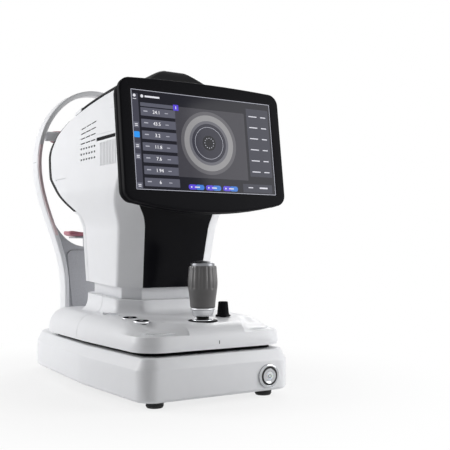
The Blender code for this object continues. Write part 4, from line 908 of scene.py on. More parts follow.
class INSTRUMENT_OT_base(Operator):
    """Base housing, its feet and the pins of the mains inlet"""
    bl_idname = "instrument.base"
    bl_label = "Base"

    def execute(self, context):
        wall = profile([(WALL, BASE_FLOOR, 0), (0, BASE_FLOOR + WALL, 3 * MM), (0, BASE_TOP - BASE_BAND, 4 * MM),
                        (BASE_BAND_SET, BASE_TOP, 3 * MM), (BASE_BAND_SET + 9 * MM, BASE_TOP, 0)])
        rows = [ring(base_corners(p.x), p.y, 14, 6) for p in wall]
        shell = put("base_moulding", swept(rows, caps=(False, True)), surface(white_abs), "base", ("base_shell",),
                    "white_moulding")
        thicken(shell, WALL)
        settle(shell)
        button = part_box("power_ring")
        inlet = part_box("mains_inlet")
        bore = (button[1].x - button[0].x) / 2 - 2 * MM
        through = 3 * WALL
        middle = (button[0] + button[1]) / 2
        hole = turned([(0, 0), (bore, 0), (bore, 2 * through), (0, 2 * through)])
        gap = tablet(inlet[1].x - inlet[0].x + 2 * SEAT, inlet[1].z - inlet[0].z + 2 * SEAT,
                     back(BASE_DEPTH - through), back(BASE_DEPTH + through), 0, (inlet[0].z + inlet[1].z) / 2, MM)
        pierce(shell, placed(hole, to_operator(middle.x, back(through), middle.z)), gap)
        soften(shell, shells().edge)
        self.make_pins(inlet)
        self.make_feet()
        return {"FINISHED"}

    def make_pins(self, inlet):
        """Three flat pins that stand in the socket."""
        floor = inlet[0].y + 2 * MM
        level = (inlet[0].z + inlet[1].z) / 2
        pins = []
        for x, z in ((-7 * MM, -1.5 * MM), (7 * MM, -1.5 * MM), (0, 3 * MM)):
            pins.append(tablet(1.8 * MM, 4.5 * MM, floor, floor + 14 * MM, x, level + z, 0.4 * MM))
        put("inlet_pins", merged(pins), surface(chrome), "base", (), "bright_chrome")

    def make_feet(self):
        for end in ("front", "rear"):
            for hand in ("left", "right"):
                node = "foot_" + end + "_" + hand
                low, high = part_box(node)
                radius = (high.x - low.x) / 2
                top = high.z
                outline = profile([(0, top, 0), (radius, top, 0.8 * MM), (radius, 0.55 * top, 0),
                                   (0.94 * radius, 0.5 * top, 0), (0.94 * radius, 0.4 * top, 0),
                                   (radius, 0.34 * top, 0.5 * MM), (0.86 * radius, 0, 1.2 * MM),
                                   (0.5 * radius, 0, 0), (0.45 * radius, 0.8 * MM, 0), (0, 0.8 * MM, 0)])
                middle = (low + high) / 2
                put("rubber_" + node, placed(turned(outline, 48), upright(middle.x, middle.y)),
                    surface(foot_rubber), "base", (node,), "foot_rubber")


class INSTRUMENT_OT_power(Operator):
    """Power button: a chrome ring, and a dished cap whose lit disc carries the usual on and off sign"""
    bl_idname = "instrument.power"
    bl_label = "Power button"

    def execute(self, context):
        low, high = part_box("power_ring")
        middle = (low + high) / 2
        place = to_operator(middle.x, back(0), middle.z)
        flange = (high.x - low.x) / 2
        proud = back(0) - low.y
        cap_low, cap_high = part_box("power_button")
        cap = (cap_high.x - cap_low.x) / 2
        bore = cap + SEAT
        tail = back(0) - high.y
        outline = [(bore, tail), (bore, proud - 1.4 * MM), (bore + 0.9 * MM, proud - 0.2 * MM),
                   (bore + 1.6 * MM, proud), (flange - 1.2 * MM, proud - 0.25 * MM), (flange - 0.4 * MM, proud - 0.8 * MM),
                   (flange, proud - 1.7 * MM), (flange, SEAT), (flange - 2.2 * MM, SEAT), (flange - 2.2 * MM, tail)]
        put("power_bezel", placed(turned(outline, 72, True), place), surface(chrome), "base", ("power_ring",),
            "bright_chrome")
        self.make_cap(cap, back(0) - cap_low.y, back(0) - cap_high.y, place)
        # Black ring in the groove between bezel and cap: painted shade for the dark gap, which is too narrow to show
        # its own shadow.
        inner = CAP_SHARE * cap + 0.1 * MM
        gap_shade = profile([(inner, tail, 0), (bore + 0.9 * MM, tail, 0), (bore + 0.9 * MM, proud - 0.3 * MM, 0.3 * MM),
                        (inner, proud - 0.9 * MM, 0)])
        put("power_gap_shade", placed(turned(gap_shade, 72, True), place), surface(foot_rubber), "base", (), "foot_rubber")
        return {"FINISHED"}

    def make_cap(self, cap, top, foot, place):
        """Dished bright cap with a lit disc at its middle."""
        edge = CAP_SHARE * cap
        lamp = 0.5 * cap
        dish = profile([(0, top - 1.1 * MM, 0), (lamp, top - 1.1 * MM, 0), (0.88 * edge, top - 0.2 * MM, 0),
                        (0.94 * edge, top, 0), (edge, top - 0.8 * MM, 0), (edge, foot, 0), (0, foot, 0)])
        put("power_cap_dish", placed(turned(dish, 72), place), surface(chrome), "power_cap", ("power_button",),
            "power_cap")
        disc = profile([(0, top - 0.55 * MM, 0), (0.7 * lamp, top - 0.65 * MM, 0), (lamp, top - 1.2 * MM, 0),
                        (0, top - 1.2 * MM, 0)])
        put("power_lamp", placed(turned(disc, 48), place), surface(frosted_cap), "power_cap", (), "power_cap")
        self.make_sign(lamp, top - 0.5 * MM, place)

    def make_sign(self, cap, top, place):
        """Ring with a gap at its top, and a short bar in the gap, raised a little from the cap."""
        radius = 0.38 * cap
        width = 0.09 * cap
        level = top - 0.2 * MM
        rows = []
        for k in range(37):
            angle = math.radians(90 + 32 + (360 - 64) * k / 36)
            way = Vector((math.cos(angle), math.sin(angle), 0))
            inner = way * (radius - width / 2)
            outer = way * (radius + width / 2)
            up = Vector((0, 0, level))
            raised = Vector((0, 0, level + 0.28 * MM))
            rows.append([inner + up, outer + up, outer + raised, inner + raised])
        arc = swept(rows, caps=(True, True))
        bar = slab([Vector((p.x, p.y + radius, level)) for p in stadium(width, 0.7 * radius)],
                   Vector((0, 0, 0.28 * MM)))
        put("power_sign", placed(merged([arc, bar]), place), surface(dark_mark), "power_cap", (), "power_cap")


def sloped(points, rise):
    """Outline of the column tipped up towards the rear."""
    front = back(COLUMN_FRONT)
    rear = back(COLUMN_REAR)
    return [p + Vector((0, 0, rise * (p.y - front) / (rear - front))) for p in points]


class INSTRUMENT_OT_stage(Operator):
    """Stage housing in two halves, with the finger scoop, and the sleeve that the column rides over"""
    bl_idname = "instrument.stage"
    bl_label = "Stage housing"
    arc_steps = 12
    between = 12

    def pillow(self, distance, share):
        """Outline of the pillow at a share of its height, which varies along the stage."""
        points = []
        for p in rounded(stage_corners(distance), self.arc_steps, self.between):
            rise = stage_height(p.y) - STAGE_FLOOR - STAGE_LIP
            points.append(Vector((p.x, p.y, STAGE_FLOOR + STAGE_LIP + rise * share)))
        return points

    def neck(self, t):
        """Outline of the sweep from the stage's top up to the column's foot."""
        points = ring(column_corners(-NECK_FLARE * (1 - t) ** 2.2), STAGE_TOP + NECK_HEIGHT * t ** 1.8,
                      self.arc_steps, self.between)
        return sloped(points, FOOT_RISE * t)

    def sheet(self):
        """Outside of the whole housing, from its lower lip to the ledge inside the neck."""
        rows = [ring(stage_corners(STAGE_LIP / 2), STAGE_FLOOR, self.arc_steps, self.between)]
        steps = 16
        for k in range(steps + 1):
            angle = math.pi / 2 * k / steps
            rows.append(self.pillow(SHOULDER * (1 - math.cos(angle)), math.sin(angle) ** 0.8))
        edge = rows[-1]
        foot = self.neck(0)
        across = 12
        for k in range(1, across):
            rows.append([a.lerp(b, k / across) for a, b in zip(edge, foot)])
        rows += [self.neck(k / steps) for k in range(steps + 1)]
        rows.append(sloped(ring(column_corners(1.2 * MM), NECK_TOP + 0.6 * MM, self.arc_steps, self.between),
                           FOOT_RISE))
        ledge = ring(column_corners(SLEEVE_SET - RUN), NECK_TOP + 0.4 * MM, self.arc_steps, self.between)
        rows.append(sloped(ledge, FOOT_RISE))
        return facing(swept(rows), (0, 0, 1))

    def scoop(self, bm, side):
        """Hollow for the fingers in a front corner, crisp along its top, its inner end and its lip."""
        depth = shells().scoop
        end = side * 43 * MM
        wall = 0.9 * MM
        lip = 92 * MM
        run_out = 18 * MM
        long = 80 * MM
        start = Vector((end, back(18 * MM), 0))
        along = (Vector((side * 80 * MM, back(88 * MM), 0)) - start).normalized()
        into = Vector((side * along.y, -side * along.x, 0))
        cuts = [((end, 0, 0), (1, 0, 0)), ((end + side * wall, 0, 0), (1, 0, 0)), ((0, 0, lip), (0, 0, 1))]
        cuts += [(start + into * run_out * share, into) for share in (0, 0.08, 0.2, 0.4, 0.65, 1)]
        for place, normal in cuts:
            faces = [face for face in bm.faces if side * face.calc_center_median().x > 20 * MM]
            edges = {edge for face in faces for edge in face.edges}
            verts = {vert for face in faces for vert in face.verts}
            bmesh.ops.bisect_plane(bm, geom=faces + list(edges) + list(verts), plane_co=place, plane_no=normal)
        for vert in bm.verts:
            away = vert.co - start
            reach = into.dot(away)
            if side * (vert.co.x - end) < wall / 2 or reach < 0 or vert.co.z < lip:
                continue
            hollow = 1 - (1 - min(1.0, reach / run_out)) ** 2
            fade = ease((long - along.dot(away)) / (long / 2))
            vert.co.z = max(lip, vert.co.z - depth * hollow * fade)

    def execute(self, context):
        split = back(STAGE_SPLIT)
        halves = (("stage_moulding_front", "stage_cover_front", -SEAM / 2, 1),
                  ("stage_moulding_rear", "stage_cover_rear", SEAM / 2, -1))
        for name, node, gap, way in halves:
            bm = self.sheet()
            bmesh.ops.bisect_plane(bm, geom=bm.verts[:] + bm.edges[:] + bm.faces[:],
                                   plane_co=(0, split + gap, 0), plane_no=(0, way, 0), clear_outer=True)
            if way > 0:
                self.scoop(bm, -1)
                self.scoop(bm, 1)
            cover = put(name, bm, surface(white_abs), "stage", (node,), "white_moulding", 50)
            thicken(cover, WALL)
            settle(cover)
            if way > 0:
                self.drill(cover)
            soften(cover, shells().edge, 2, 50)
        self.make_sleeve()
        self.make_tick()
        return {"FINISHED"}

    def drill(self, cover):
        """Openings for the joystick, the lock knob's stem and the chinrest buttons."""
        holes = [(0, back(JOY_Y), JOY_COLLAR + SEAT), (LOCK_X, back(LOCK_Y), 4 * MM + RUN)]
        for node in ("chin_button_down", "chin_button_up"):
            low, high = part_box(node)
            holes.append((-BUTTON_X, (low.y + high.y) / 2, BUTTON_RADIUS + RUN))
        for x, y, radius in holes:
            low = STAGE_TOP - NECK_HEIGHT
            bore = [(0, low), (radius, low), (radius, NECK_TOP + NECK_HEIGHT), (0, NECK_TOP + NECK_HEIGHT)]
            pierce(cover, placed(turned(bore, 64), upright(x, y)))

    def make_sleeve(self):
        low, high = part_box("column_sleeve")
        heights = (low.z, high.z - MM, high.z)
        rows = [ring(column_corners(SLEEVE_SET + d), z, 10, 2) for d, z in zip((0, 0, 0.6 * MM), heights)]
        sleeve = put("column_tube", facing(swept(rows), (0, -1, 0)), surface(white_abs), "stage",
                     ("column_sleeve",), "white_moulding")
        thicken(sleeve, 2.4 * MM)

    def make_tick(self):
        """Printed line at the middle of the stage's front edge."""
        y = back(STAGE_FRONT) - 0.12 * MM
        tick = tablet(0.9 * MM, 4.5 * MM, y, y + 1.2 * MM, 0, STAGE_FLOOR + 9 * MM, 0.3 * MM)
        put("centre_mark", tick, surface(dark_mark), "stage", (), "black_satin")


class INSTRUMENT_OT_joystick(Operator):
    """Joystick: collar, ball and neck, ferrule, fluted grip and the domed cap"""
    bl_idname = "instrument.joystick"
    bl_label = "Joystick"

    def execute(self, context):
        self.place = upright(0, back(JOY_Y))
        self.make_collar()
        self.make_shaft()
        self.make_ferrule()
        self.make_grip()
        self.make_cap()
        return {"FINISHED"}

    def make_collar(self):
        """Dark disc that the stick passes through, dished to its mouth."""
        low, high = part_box("joystick_collar")
        rim = 1.2 * MM
        outline = profile([(JOY_MOUTH, low.z, 0), (JOY_COLLAR, low.z, 0), (JOY_COLLAR, high.z, rim),
                           (JOY_COLLAR - 3.5 * MM, high.z, 0.6 * MM), (JOY_MOUTH + 2 * MM, high.z - 0.9 * MM, 0.6 * MM),
                           (JOY_MOUTH, high.z - 1.6 * MM, 0)])
        put("joystick_disc", placed(turned(outline, 72, True), self.place), surface(black_satin), "stage",
            ("joystick_collar",), "black_satin")
        inner = JOY_MOUTH + 0.2 * MM
        outer = JOY_MOUTH + 2.4 * MM
        foot = high.z - 1.6 * MM
        crest = high.z + 0.9 * MM
        lip = profile([(inner, foot, 0), (outer, foot, 0), (outer, crest, 0.6 * MM), (inner, crest, 0.6 * MM),
                       (inner, mix(foot, crest, 0.3), 0)])
        put("joystick_lip", placed(turned(lip, 72, True), self.place), surface(chrome), "stage", (), "bright_chrome")

    def make_shaft(self):
        """Polished ball under a short neck, with the small driving ball below the stage."""
        low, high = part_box("joystick_shaft")
        ball = (high.x - low.x) / 2
        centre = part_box("joystick_gimbal")
        level = (centre[0].z + centre[1].z) / 2
        neck = 0.85 * ball
        tail = 4 * MM
        foot = 6 * MM
        outline = [Vector((0, high.z)), Vector((neck - 0.5 * MM, high.z)), Vector((neck, high.z - 0.5 * MM))]
        top = math.acos(0.85)
        bottom = -math.acos(tail / ball)
        for k in range(25):
            angle = mix(top, bottom, k / 24)
            outline.append(Vector((ball * math.cos(angle), level + ball * math.sin(angle))))
        start = math.acos(tail / foot)
        for k in range(17):
            angle = mix(start, -math.pi / 2, k / 16)
            outline.append(Vector((foot * math.cos(angle), low.z + foot + foot * math.sin(angle))))
        outline[-1].x = 0
        put("joystick_ball", placed(turned(outline, 64), self.place), surface(black_gloss), "stick",
            ("joystick_shaft",), "black_gloss")

    def make_ferrule(self):
        """Tapered metal ring under the grip."""
        low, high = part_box("joystick_ferrule")
        wide = (high.x - low.x) / 2
        narrow = 13.5 * MM
        outline = profile([(0, high.z, 0), (wide - 0.9 * MM, high.z, 0), (wide, high.z - 1.2 * MM, 0.5 * MM),
                           (wide - 1.2 * MM, high.z - 3 * MM, 0.8 * MM), (narrow, low.z, 0.7 * MM), (0, low.z, 0)])
        put("joystick_cone", placed(turned(outline, 72), self.place), surface(turned_aluminium), "stick",
            ("joystick_ferrule",), "satin_silver")

    def make_grip(self):
        """Barrel that swells to the hand, with grooves round its upper half and a recess for the cap."""
        low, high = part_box("joystick_grip")
        tall = high.z - low.z
        widest = (high.x - low.x) / 2
        foot = widest - 3.2 * MM
        crown = widest - 1.4 * MM
        count = controls().flutes
        points = count * 10
        rows = []

        def circle(radius, z, groove=0.0):
            line = []
            for k in range(points):
                angle = 2 * math.pi * k / points
                cut = groove * max(0.0, math.cos(count * angle)) ** 0.6
                line.append(Vector(((radius - cut) * math.cos(angle), (radius - cut) * math.sin(angle), z)))
            return line

        rows.append(circle(foot - 4 * MM, low.z))
        rows.append(circle(foot - 0.9 * MM, low.z))
        levels = 48
        for k in range(levels + 1):
            t = k / levels
            radius = mix(mix(foot, widest, ease(t / 0.6)), crown, ease((t - 0.6) / 0.4))
            shown = ease((t - 0.44) / 0.05) * ease((1.0 - t) / 0.03)
            round_off = 0.9 * MM * (1 - ease(min(t, 1 - t) / 0.025))
            rows.append(circle(radius - round_off, low.z + tall * t, controls().flute_depth * shown))
        recess = crown - 3 * MM + RUN
        rows.append(circle(recess + 0.5 * MM, high.z))
        rows.append(circle(recess, high.z - 0.5 * MM))
        rows.append(circle(recess, high.z - 5.3 * MM))
        bm = placed(swept(rows, caps=(True, True)), self.place)
        put("joystick_barrel", bm, surface(grip_rubber), "grip", ("joystick_grip",), "charcoal_grip")

    def make_cap(self):
        """Domed metal cap that is pressed to start a measurement."""
        low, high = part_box("joystick_button")
        radius = (high.x - low.x) / 2
        edge = high.z - 5 * MM
        outline = []
        for k in range(15):
            angle = math.pi / 2 * (1 - k / 14)
            outline.append(Vector((radius * math.cos(angle), edge + 5 * MM * math.sin(angle) ** 0.85)))
        outline[0].x = 0
        outline += [Vector((radius, low.z)), Vector((0, low.z))]
        # The cap's metal is painted dark, a painted reflection of dark surroundings.
        put("joystick_dome", placed(turned(outline, 64), self.place), surface(aluminium_painted_dark), "trigger",
            ("joystick_button",), "satin_silver")


class INSTRUMENT_OT_controls(Operator):
    """Lock knob, and the two chinrest buttons with their rims"""
    bl_idname = "instrument.controls"
    bl_label = "Stage controls"

    def execute(self, context):
        self.make_knob()
        for node, body, way in (("chin_button_down", "chin_down_key", -1), ("chin_button_up", "chin_up_key", 1)):
            self.make_button(node, body, way)
        return {"FINISHED"}

    def make_knob(self):
        low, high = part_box("lock_knob")
        place = upright(LOCK_X, back(LOCK_Y))
        skirt = (high.x - low.x) / 2
        radius = skirt - 2.5 * MM
        crown = radius - 1.5 * MM
        foot = high.z - 21 * MM
        ridges = 20
        points = ridges * 8

        def circle(size, z, groove=0.0):
            line = []
            for k in range(points):
                angle = 2 * math.pi * k / points
                r = size - groove * (0.5 + 0.5 * math.cos(ridges * angle))
                line.append(Vector((r * math.cos(angle), r * math.sin(angle), z)))
            return line

        rows = [circle(4 * MM, low.z), circle(4 * MM, foot), circle(skirt - 0.4 * MM, foot),
                circle(skirt, foot + 0.4 * MM), circle(skirt, foot + 1.4 * MM), circle(skirt - 0.8 * MM, foot + 2.2 * MM),
                circle(radius + 0.2 * MM, foot + 2.6 * MM), circle(radius, foot + 3.2 * MM)]
        for k in range(1, 12):
            t = k / 12
            rows.append(circle(mix(radius, crown, t), mix(foot + 3.2 * MM, high.z - 1.2 * MM, t),
                               0.45 * MM * ease(t / 0.12) * ease((1 - t) / 0.12)))
        rows += [circle(crown, high.z - 1.2 * MM), circle(crown - 0.3 * MM, high.z - 0.5 * MM),
                 circle(crown - 1.1 * MM, high.z), circle(crown - 2 * MM, high.z - 0.3 * MM)]
        put("lock_grip", placed(swept(rows, caps=(True, True)), place), surface(black_satin), "lock",
            ("lock_knob",), "black_satin")

    def make_button(self, node, body, way):
        """Dished dark key with a raised arrow, and the rim that is pressed into the stage round it."""
        low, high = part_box(node)
        y = (low.y + high.y) / 2
        radius = (high.x - low.x) / 2
        top = high.z
        place = upright(-BUTTON_X, y)
        outline = profile([(0, top - 0.5 * MM, 0), (0.45 * radius, top - 0.4 * MM, 0), (0.78 * radius, top - 0.08 * MM, 0),
                           (0.86 * radius, top, 0), (0.95 * radius, top - 0.3 * MM, 0), (radius, top - 1.1 * MM, 0),
                           (radius, low.z, 0), (0, low.z, 0)])
        put("key_" + node, placed(turned(outline, 56), place), surface(black_satin), body, (node,), "black_satin")
        size = 0.34 * radius
        corners = [(size, -way * size * 0.7), (0, way * size), (-size, -way * size * 0.7)]
        arrow = slab([Vector((x, dy, top - 0.5 * MM)) for x, dy in corners], Vector((0, 0, 0.3 * MM)))
        put("arrow_" + node, placed(arrow, place), surface(frosted_cap), body, (), "black_satin")
        level = stage_height(y)
        rim = controls().rim
        bore = radius + RUN
        tip = Matrix.Rotation(math.atan(0.05), 4, "X")
        section = profile([(bore - 0.05 * MM, -2.2 * MM, 0), (bore - 0.05 * MM, 0.6 * MM, 0.4 * MM),
                           (bore + rim, 0.3 * MM, 0.4 * MM), (bore + rim + 0.2 * MM, -0.8 * MM, 0),
                           (bore + 0.5 * MM, -0.8 * MM, 0), (bore + 0.5 * MM, -2.2 * MM, 0)])
        put("rim_" + node, placed(turned(section, 64, True), upright(-BUTTON_X, y, level) @ tip),
            surface(turned_aluminium), "stage", (), "satin_silver")


class INSTRUMENT_OT_head(Operator):
    """Side shells of the head with their vents, the front panel, the rear covers and the top cover"""
    bl_idname = "instrument.head"
    bl_label = "Head"

    def execute(self, context):
        for hand, side in (("left", -1), ("right", 1)):
            self.make_shell(hand, side)
            self.make_ribs(hand, side)
        self.make_front_panel()
        self.make_rear_covers()
        self.make_top_cover()
        return {"FINISHED"}

    def shell_line(self, height, side):
        """One row of a side shell, from the front panel's edge round the front corner to the rear."""
        edge, start = panel_edge(height)
        rear = Vector((rear_half(height), head_rear(rear_height(height)) - patient_rim(height)))
        corner = fillet((edge, start), (head_half(height), head_front(height)), rear, SHELL_CORNER, 10)
        line = [Vector((edge, start)), corner[0].lerp(Vector((edge, start)), 0.5)] + corner
        line += [corner[-1].lerp(rear, k / 18) for k in range(1, 19)]
        return [head_point(height, side * p.x, p.y) for p in line]

    def make_shell(self, hand, side):
        rows = [self.shell_line(h, side) for h in head_rows()]
        shell = put("head_moulding_" + hand, facing(swept(rows, closed=False), (side, 0, 0)), surface(white_abs),
                    "head", ("head_shell_" + hand,), "white_moulding", 50)
        thicken(shell, WALL)
        settle(shell)
        turn = Matrix.Identity(4) if side < 0 else Matrix.Diagonal((-1, 1, 1, 1))
        tools = merged(self.vent_tools() + self.slot_tools())
        tools.transform(turn)
        bmesh.ops.recalc_face_normals(tools, faces=tools.faces)
        pierce(shell, tools)
        soften(shell, shells().edge / 2, 2, 50)
        screens = merged([self.screen(place) for place in self.vent_places()] + [self.screen(self.slot_place(), 6.5)])
        screens.transform(turn)
        bmesh.ops.recalc_face_normals(screens, faces=screens.faces)
        put("vent_screen_" + hand, screens, surface(black_satin), "head", (), "black_satin")

    def screen(self, place, high=4.2):
        """Dark mesh inside the wall of a shell, behind one row of openings."""
        return placed(tablet(68 * MM, high * MM, 0.9 * MM, 1.7 * MM, radius=MM), place)

    def slot_place(self):
        return side_place(back(151 * MM), 362.5 * MM)

    def vent_places(self):
        """Place of each row of vents, from the lowest; the upper rows rise to the front."""
        places = []
        for k in range(shells().vent_rows):
            lean = Matrix.Rotation(math.radians(-1.6 * max(0, k - 2)), 4, "Y")
            places.append(side_place(back(214 * MM), 338 * MM + k * shells().vent_pitch) @ lean)
        return places

    def vent_tools(self):
        """Slots that are cut through the side: long ones in the upper rows and short ones in the lower rows."""
        tools = []
        span = 54 * MM
        for k, place in enumerate(self.vent_places()):
            short = k < shells().vent_rows // 2
            count = 6 if short else 3
            gap = (4.2 if short else 1.6) * MM
            high = (3 if short else 1.7) * MM
            wide = (span - gap * (count - 1)) / count
            for i in range(count):
                along = -span / 2 + wide / 2 + i * (wide + gap)
                tools.append(placed(tablet(wide, high, -6 * MM, 6 * MM, along), place))
        return tools

    def slot_tools(self):
        """Wide side slot with a fine line above it, and shallow joint lines."""
        tools = [placed(tablet(64 * MM, 5.2 * MM, -6 * MM, 6 * MM, radius=0.6 * MM), self.slot_place())]
        tools.append(placed(tablet(64 * MM, 0.9 * MM, -6 * MM, 0.7 * MM), side_place(back(151 * MM), 369 * MM)))
        for z in (404 * MM, 409 * MM):
            line = tablet(66 * MM, 0.7 * MM, -8 * MM, 0.5 * MM)
            tools.append(placed(line, side_place(back(160 * MM), z) @ Matrix.Rotation(math.radians(4), 4, "Y")))
        tools.append(placed(tablet(40 * MM, 1.4 * MM, -6 * MM, 1.4 * MM), side_place(back(322 * MM), 315 * MM)))
        return tools

    def make_ribs(self, hand, side):
        """Fine upright ribs under the side slot."""
        pitch = shells().rib_pitch
        count = int(50 * MM / pitch)
        ribs = []
        for k in range(count + 1):
            distance = 119 * MM + 50 * MM * k / count
            rib = tablet(1.3 * MM, 34 * MM, -0.55 * MM, 1.5 * MM)
            ribs.append(placed(rib, side_place(back(distance), 340 * MM)))
        bm = merged(ribs)
        if side > 0:
            bm.transform(Matrix.Diagonal((-1, 1, 1, 1)))
            bmesh.ops.recalc_face_normals(bm, faces=bm.faces)
        put("side_ribs_" + hand, bm, surface(white_abs), "head", (), "white_moulding")

    def panel_row(self, height, half, start, end, radius):
        """Section of a panel across the head, with rounded edges."""
        corners = [(-half, start, radius), (half, start, radius), (half, end, radius), (-half, end, radius)]
        return [head_point(height, p.x, p.y) for p in rounded(corners, 4, 3)]

    def make_front_panel(self):
        rows = []
        for h in head_rows():
            edge, start = panel_edge(h)
            rows.append(self.panel_row(h, edge - SEAT, start, start + WALL, 1.2 * MM))
        put("front_panel_gloss", swept(rows, caps=(True, True)), surface(black_gloss), "head",
            ("head_front_panel",), "black_gloss")

    def make_rear_covers(self):
        seam = COLUMN_HEIGHT + BELLY_HEIGHT / 5
        covers = (("column_back", "column_rear_cover", 0.0, seam - SEAT, white_abs, "white_moulding"),
                  ("patient_face", "patient_panel", seam + SEAT, TOP_FRONT, black_gloss, "black_gloss"))
        for name, node, low, high, make, slot in covers:
            rows = []
            for h in head_rows(low, high, 36):
                rear = head_rear(rear_height(h))
                rows.append(self.panel_row(h, rear_half(h), rear - patient_rim(h) + RUN, rear, 2.4 * MM))
            cover = put(name, swept(rows, caps=(True, True)), surface(make), "head", (node,), slot)
            if node == "patient_panel":
                bore = WINDOW_RADIUS + SEAT
                reach = 4 * WINDOW_RADIUS
                hole = turned([(0, 0), (bore, 0), (bore, reach), (0, reach)], 72)
                pierce(cover, placed(hole, to_operator(0, back(HEAD_REAR + reach / 2), EYE_Z)))

    def make_top_cover(self):
        """Shallow roof that swells to a rounded hump behind the monitor."""
        edge, start = panel_edge(TOP_FRONT)
        corners = mirrored([(edge, start, SHELL_CORNER / 2), (head_half(TOP_FRONT), HEAD_FRONT, SHELL_CORNER),
                            (rear_half(TOP_FRONT), HEAD_REAR - TOP_REAR_DRAW, TOP_REAR_DRAW / 2)])

        rim = rounded(corners, 10, 8)
        middle = mix(start, HEAD_REAR - TOP_REAR_DRAW, ROOF_PEAK)

        def contour(distance, height):
            share = 1 - distance / head_half(TOP_FRONT)
            up = Vector((0, 0, SEAT + height))
            return [head_point(TOP_FRONT, p.x * share, mix(middle, p.y, share)) + up for p in rim]

        def roof(distance):
            return TOP_RIM + ROOF_SLOPE * distance + HUMP * ease((distance - HUMP_IN) / HUMP_FLANK)

        rows = [contour(0, 0), contour(0, TOP_RIM - MM), contour(0.3 * MM, TOP_RIM - 0.3 * MM), contour(MM, TOP_RIM)]
        inner = HUMP_IN + HUMP_FLANK
        count = 30
        rows += [contour(inner * k / count, roof(inner * k / count)) for k in range(1, count + 1)]
        cover = put("roof_gloss", facing(swept(rows, caps=(False, True)), (0, 0, 1)), surface(black_gloss), "head",
                    ("head_top_cover",), "black_gloss", 50)
        thicken(cover, WALL)
        self.make_rear_band(rim, contour)

    def make_rear_band(self, rim, contour):
        """White band over the joint between the roof and the shells, round the rear of the head."""
        start = 243 * MM
        section = ((-0.6 * MM, -0.2 * MM), (-0.6 * MM, TOP_RIM - 0.6 * MM), (0, TOP_RIM + 0.4 * MM),
                   (1.6 * MM, TOP_RIM + 0.7 * MM), (1.8 * MM, TOP_RIM - MM))
        loops = [contour(distance, height) for distance, height in section]
        rows = [[loop[i] for loop in loops] for i, p in enumerate(rim) if p.y > start]
        put("rear_band", swept(rows, caps=(True, True)), surface(white_abs), "head", (), "white_moulding")


class INSTRUMENT_OT_optics(Operator):
    """Window ring and coated lens on the patient's side"""
    bl_idname = "instrument.optics"
    bl_label = "Optics"

    def execute(self, context):
        low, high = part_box("window_ring")
        place = to_operator(0, high.y, EYE_Z)
        depth = high.y - low.y
        bore = LENS_RADIUS + SEAT
        ring_line = profile([(bore, depth, 0), (WINDOW_RADIUS, depth, 0), (WINDOW_RADIUS, 0, 0.9 * MM),
                             (bore + 4.2 * MM, 0, 0.5 * MM), (bore + 1.6 * MM, 2 * MM, 0), (bore + 1.6 * MM, 2.4 * MM, 0),
                             (bore, 3 * MM, 0)])
        put("window_bezel", placed(turned(ring_line, 72, True), place), surface(black_satin), "head",
            ("window_ring",), "black_satin")
        front = high.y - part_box("objective_lens")[1].y
        bulge = 1.3 * MM
        line = [Vector((0, depth)), Vector((LENS_RADIUS, depth))]
        for k in range(15):
            reach = LENS_RADIUS * (1 - k / 14)
            line.append(Vector((reach, front + bulge * (reach / LENS_RADIUS) ** 2)))
        put("lens_glass_front", placed(turned(line, 72), place), surface(coated_glass), "head",
            ("objective_lens",), "lens_glass")
        return {"FINISHED"}


class INSTRUMENT_OT_monitor(Operator):
    """Bezel and back of the monitor"""
    bl_idname = "instrument.monitor"
    bl_label = "Monitor"

    def execute(self, context):
        def row(grow, depth):
            return face_ring(face_outline(grow, BEZEL_CROWN), depth)

        rows = [row(1, BEZEL_DEPTH), row(1, 3 * MM)]
        for k in range(1, 8):
            angle = math.pi / 2 * k / 7
            rows.append(row(1 - 0.16 * (1 - math.cos(angle)), 3 * MM * (1 - math.sin(angle))))
        rows += [row(grow, 0) for grow in (0.6, 0.3, 0.08)]
        rows += [row(0.03, 0.15 * MM), row(0, 0.5 * MM), row(0, BEZEL_DEPTH)]
        put("monitor_frame", swept(rows, joined=True), surface(black_satin), "monitor", ("monitor_bezel",),
            "black_satin")
        start = BEZEL_DEPTH + SEAT
        outline = face_outline(1)
        rows = [face_ring(outline, start), face_ring(outline, start + 0.42 * BACK_DEPTH)]
        for k in range(1, 13):
            angle = math.pi / 2 * k / 12
            share = 1 - 0.14 * (1 - math.cos(angle)) ** 1.1
            rows.append(face_ring(outline, start + BACK_DEPTH * mix(0.42, 0.985, math.sin(angle)), share))
        rows.append(face_ring(outline, start + BACK_DEPTH, 0.62))
        rear = put("monitor_rear", facing(swept(rows, caps=(False, True)), (0, 1, 0)), surface(black_satin),
                   "monitor", ("monitor_back",), "black_satin")
        thicken(rear, 2.5 * MM)
        return {"FINISHED"}


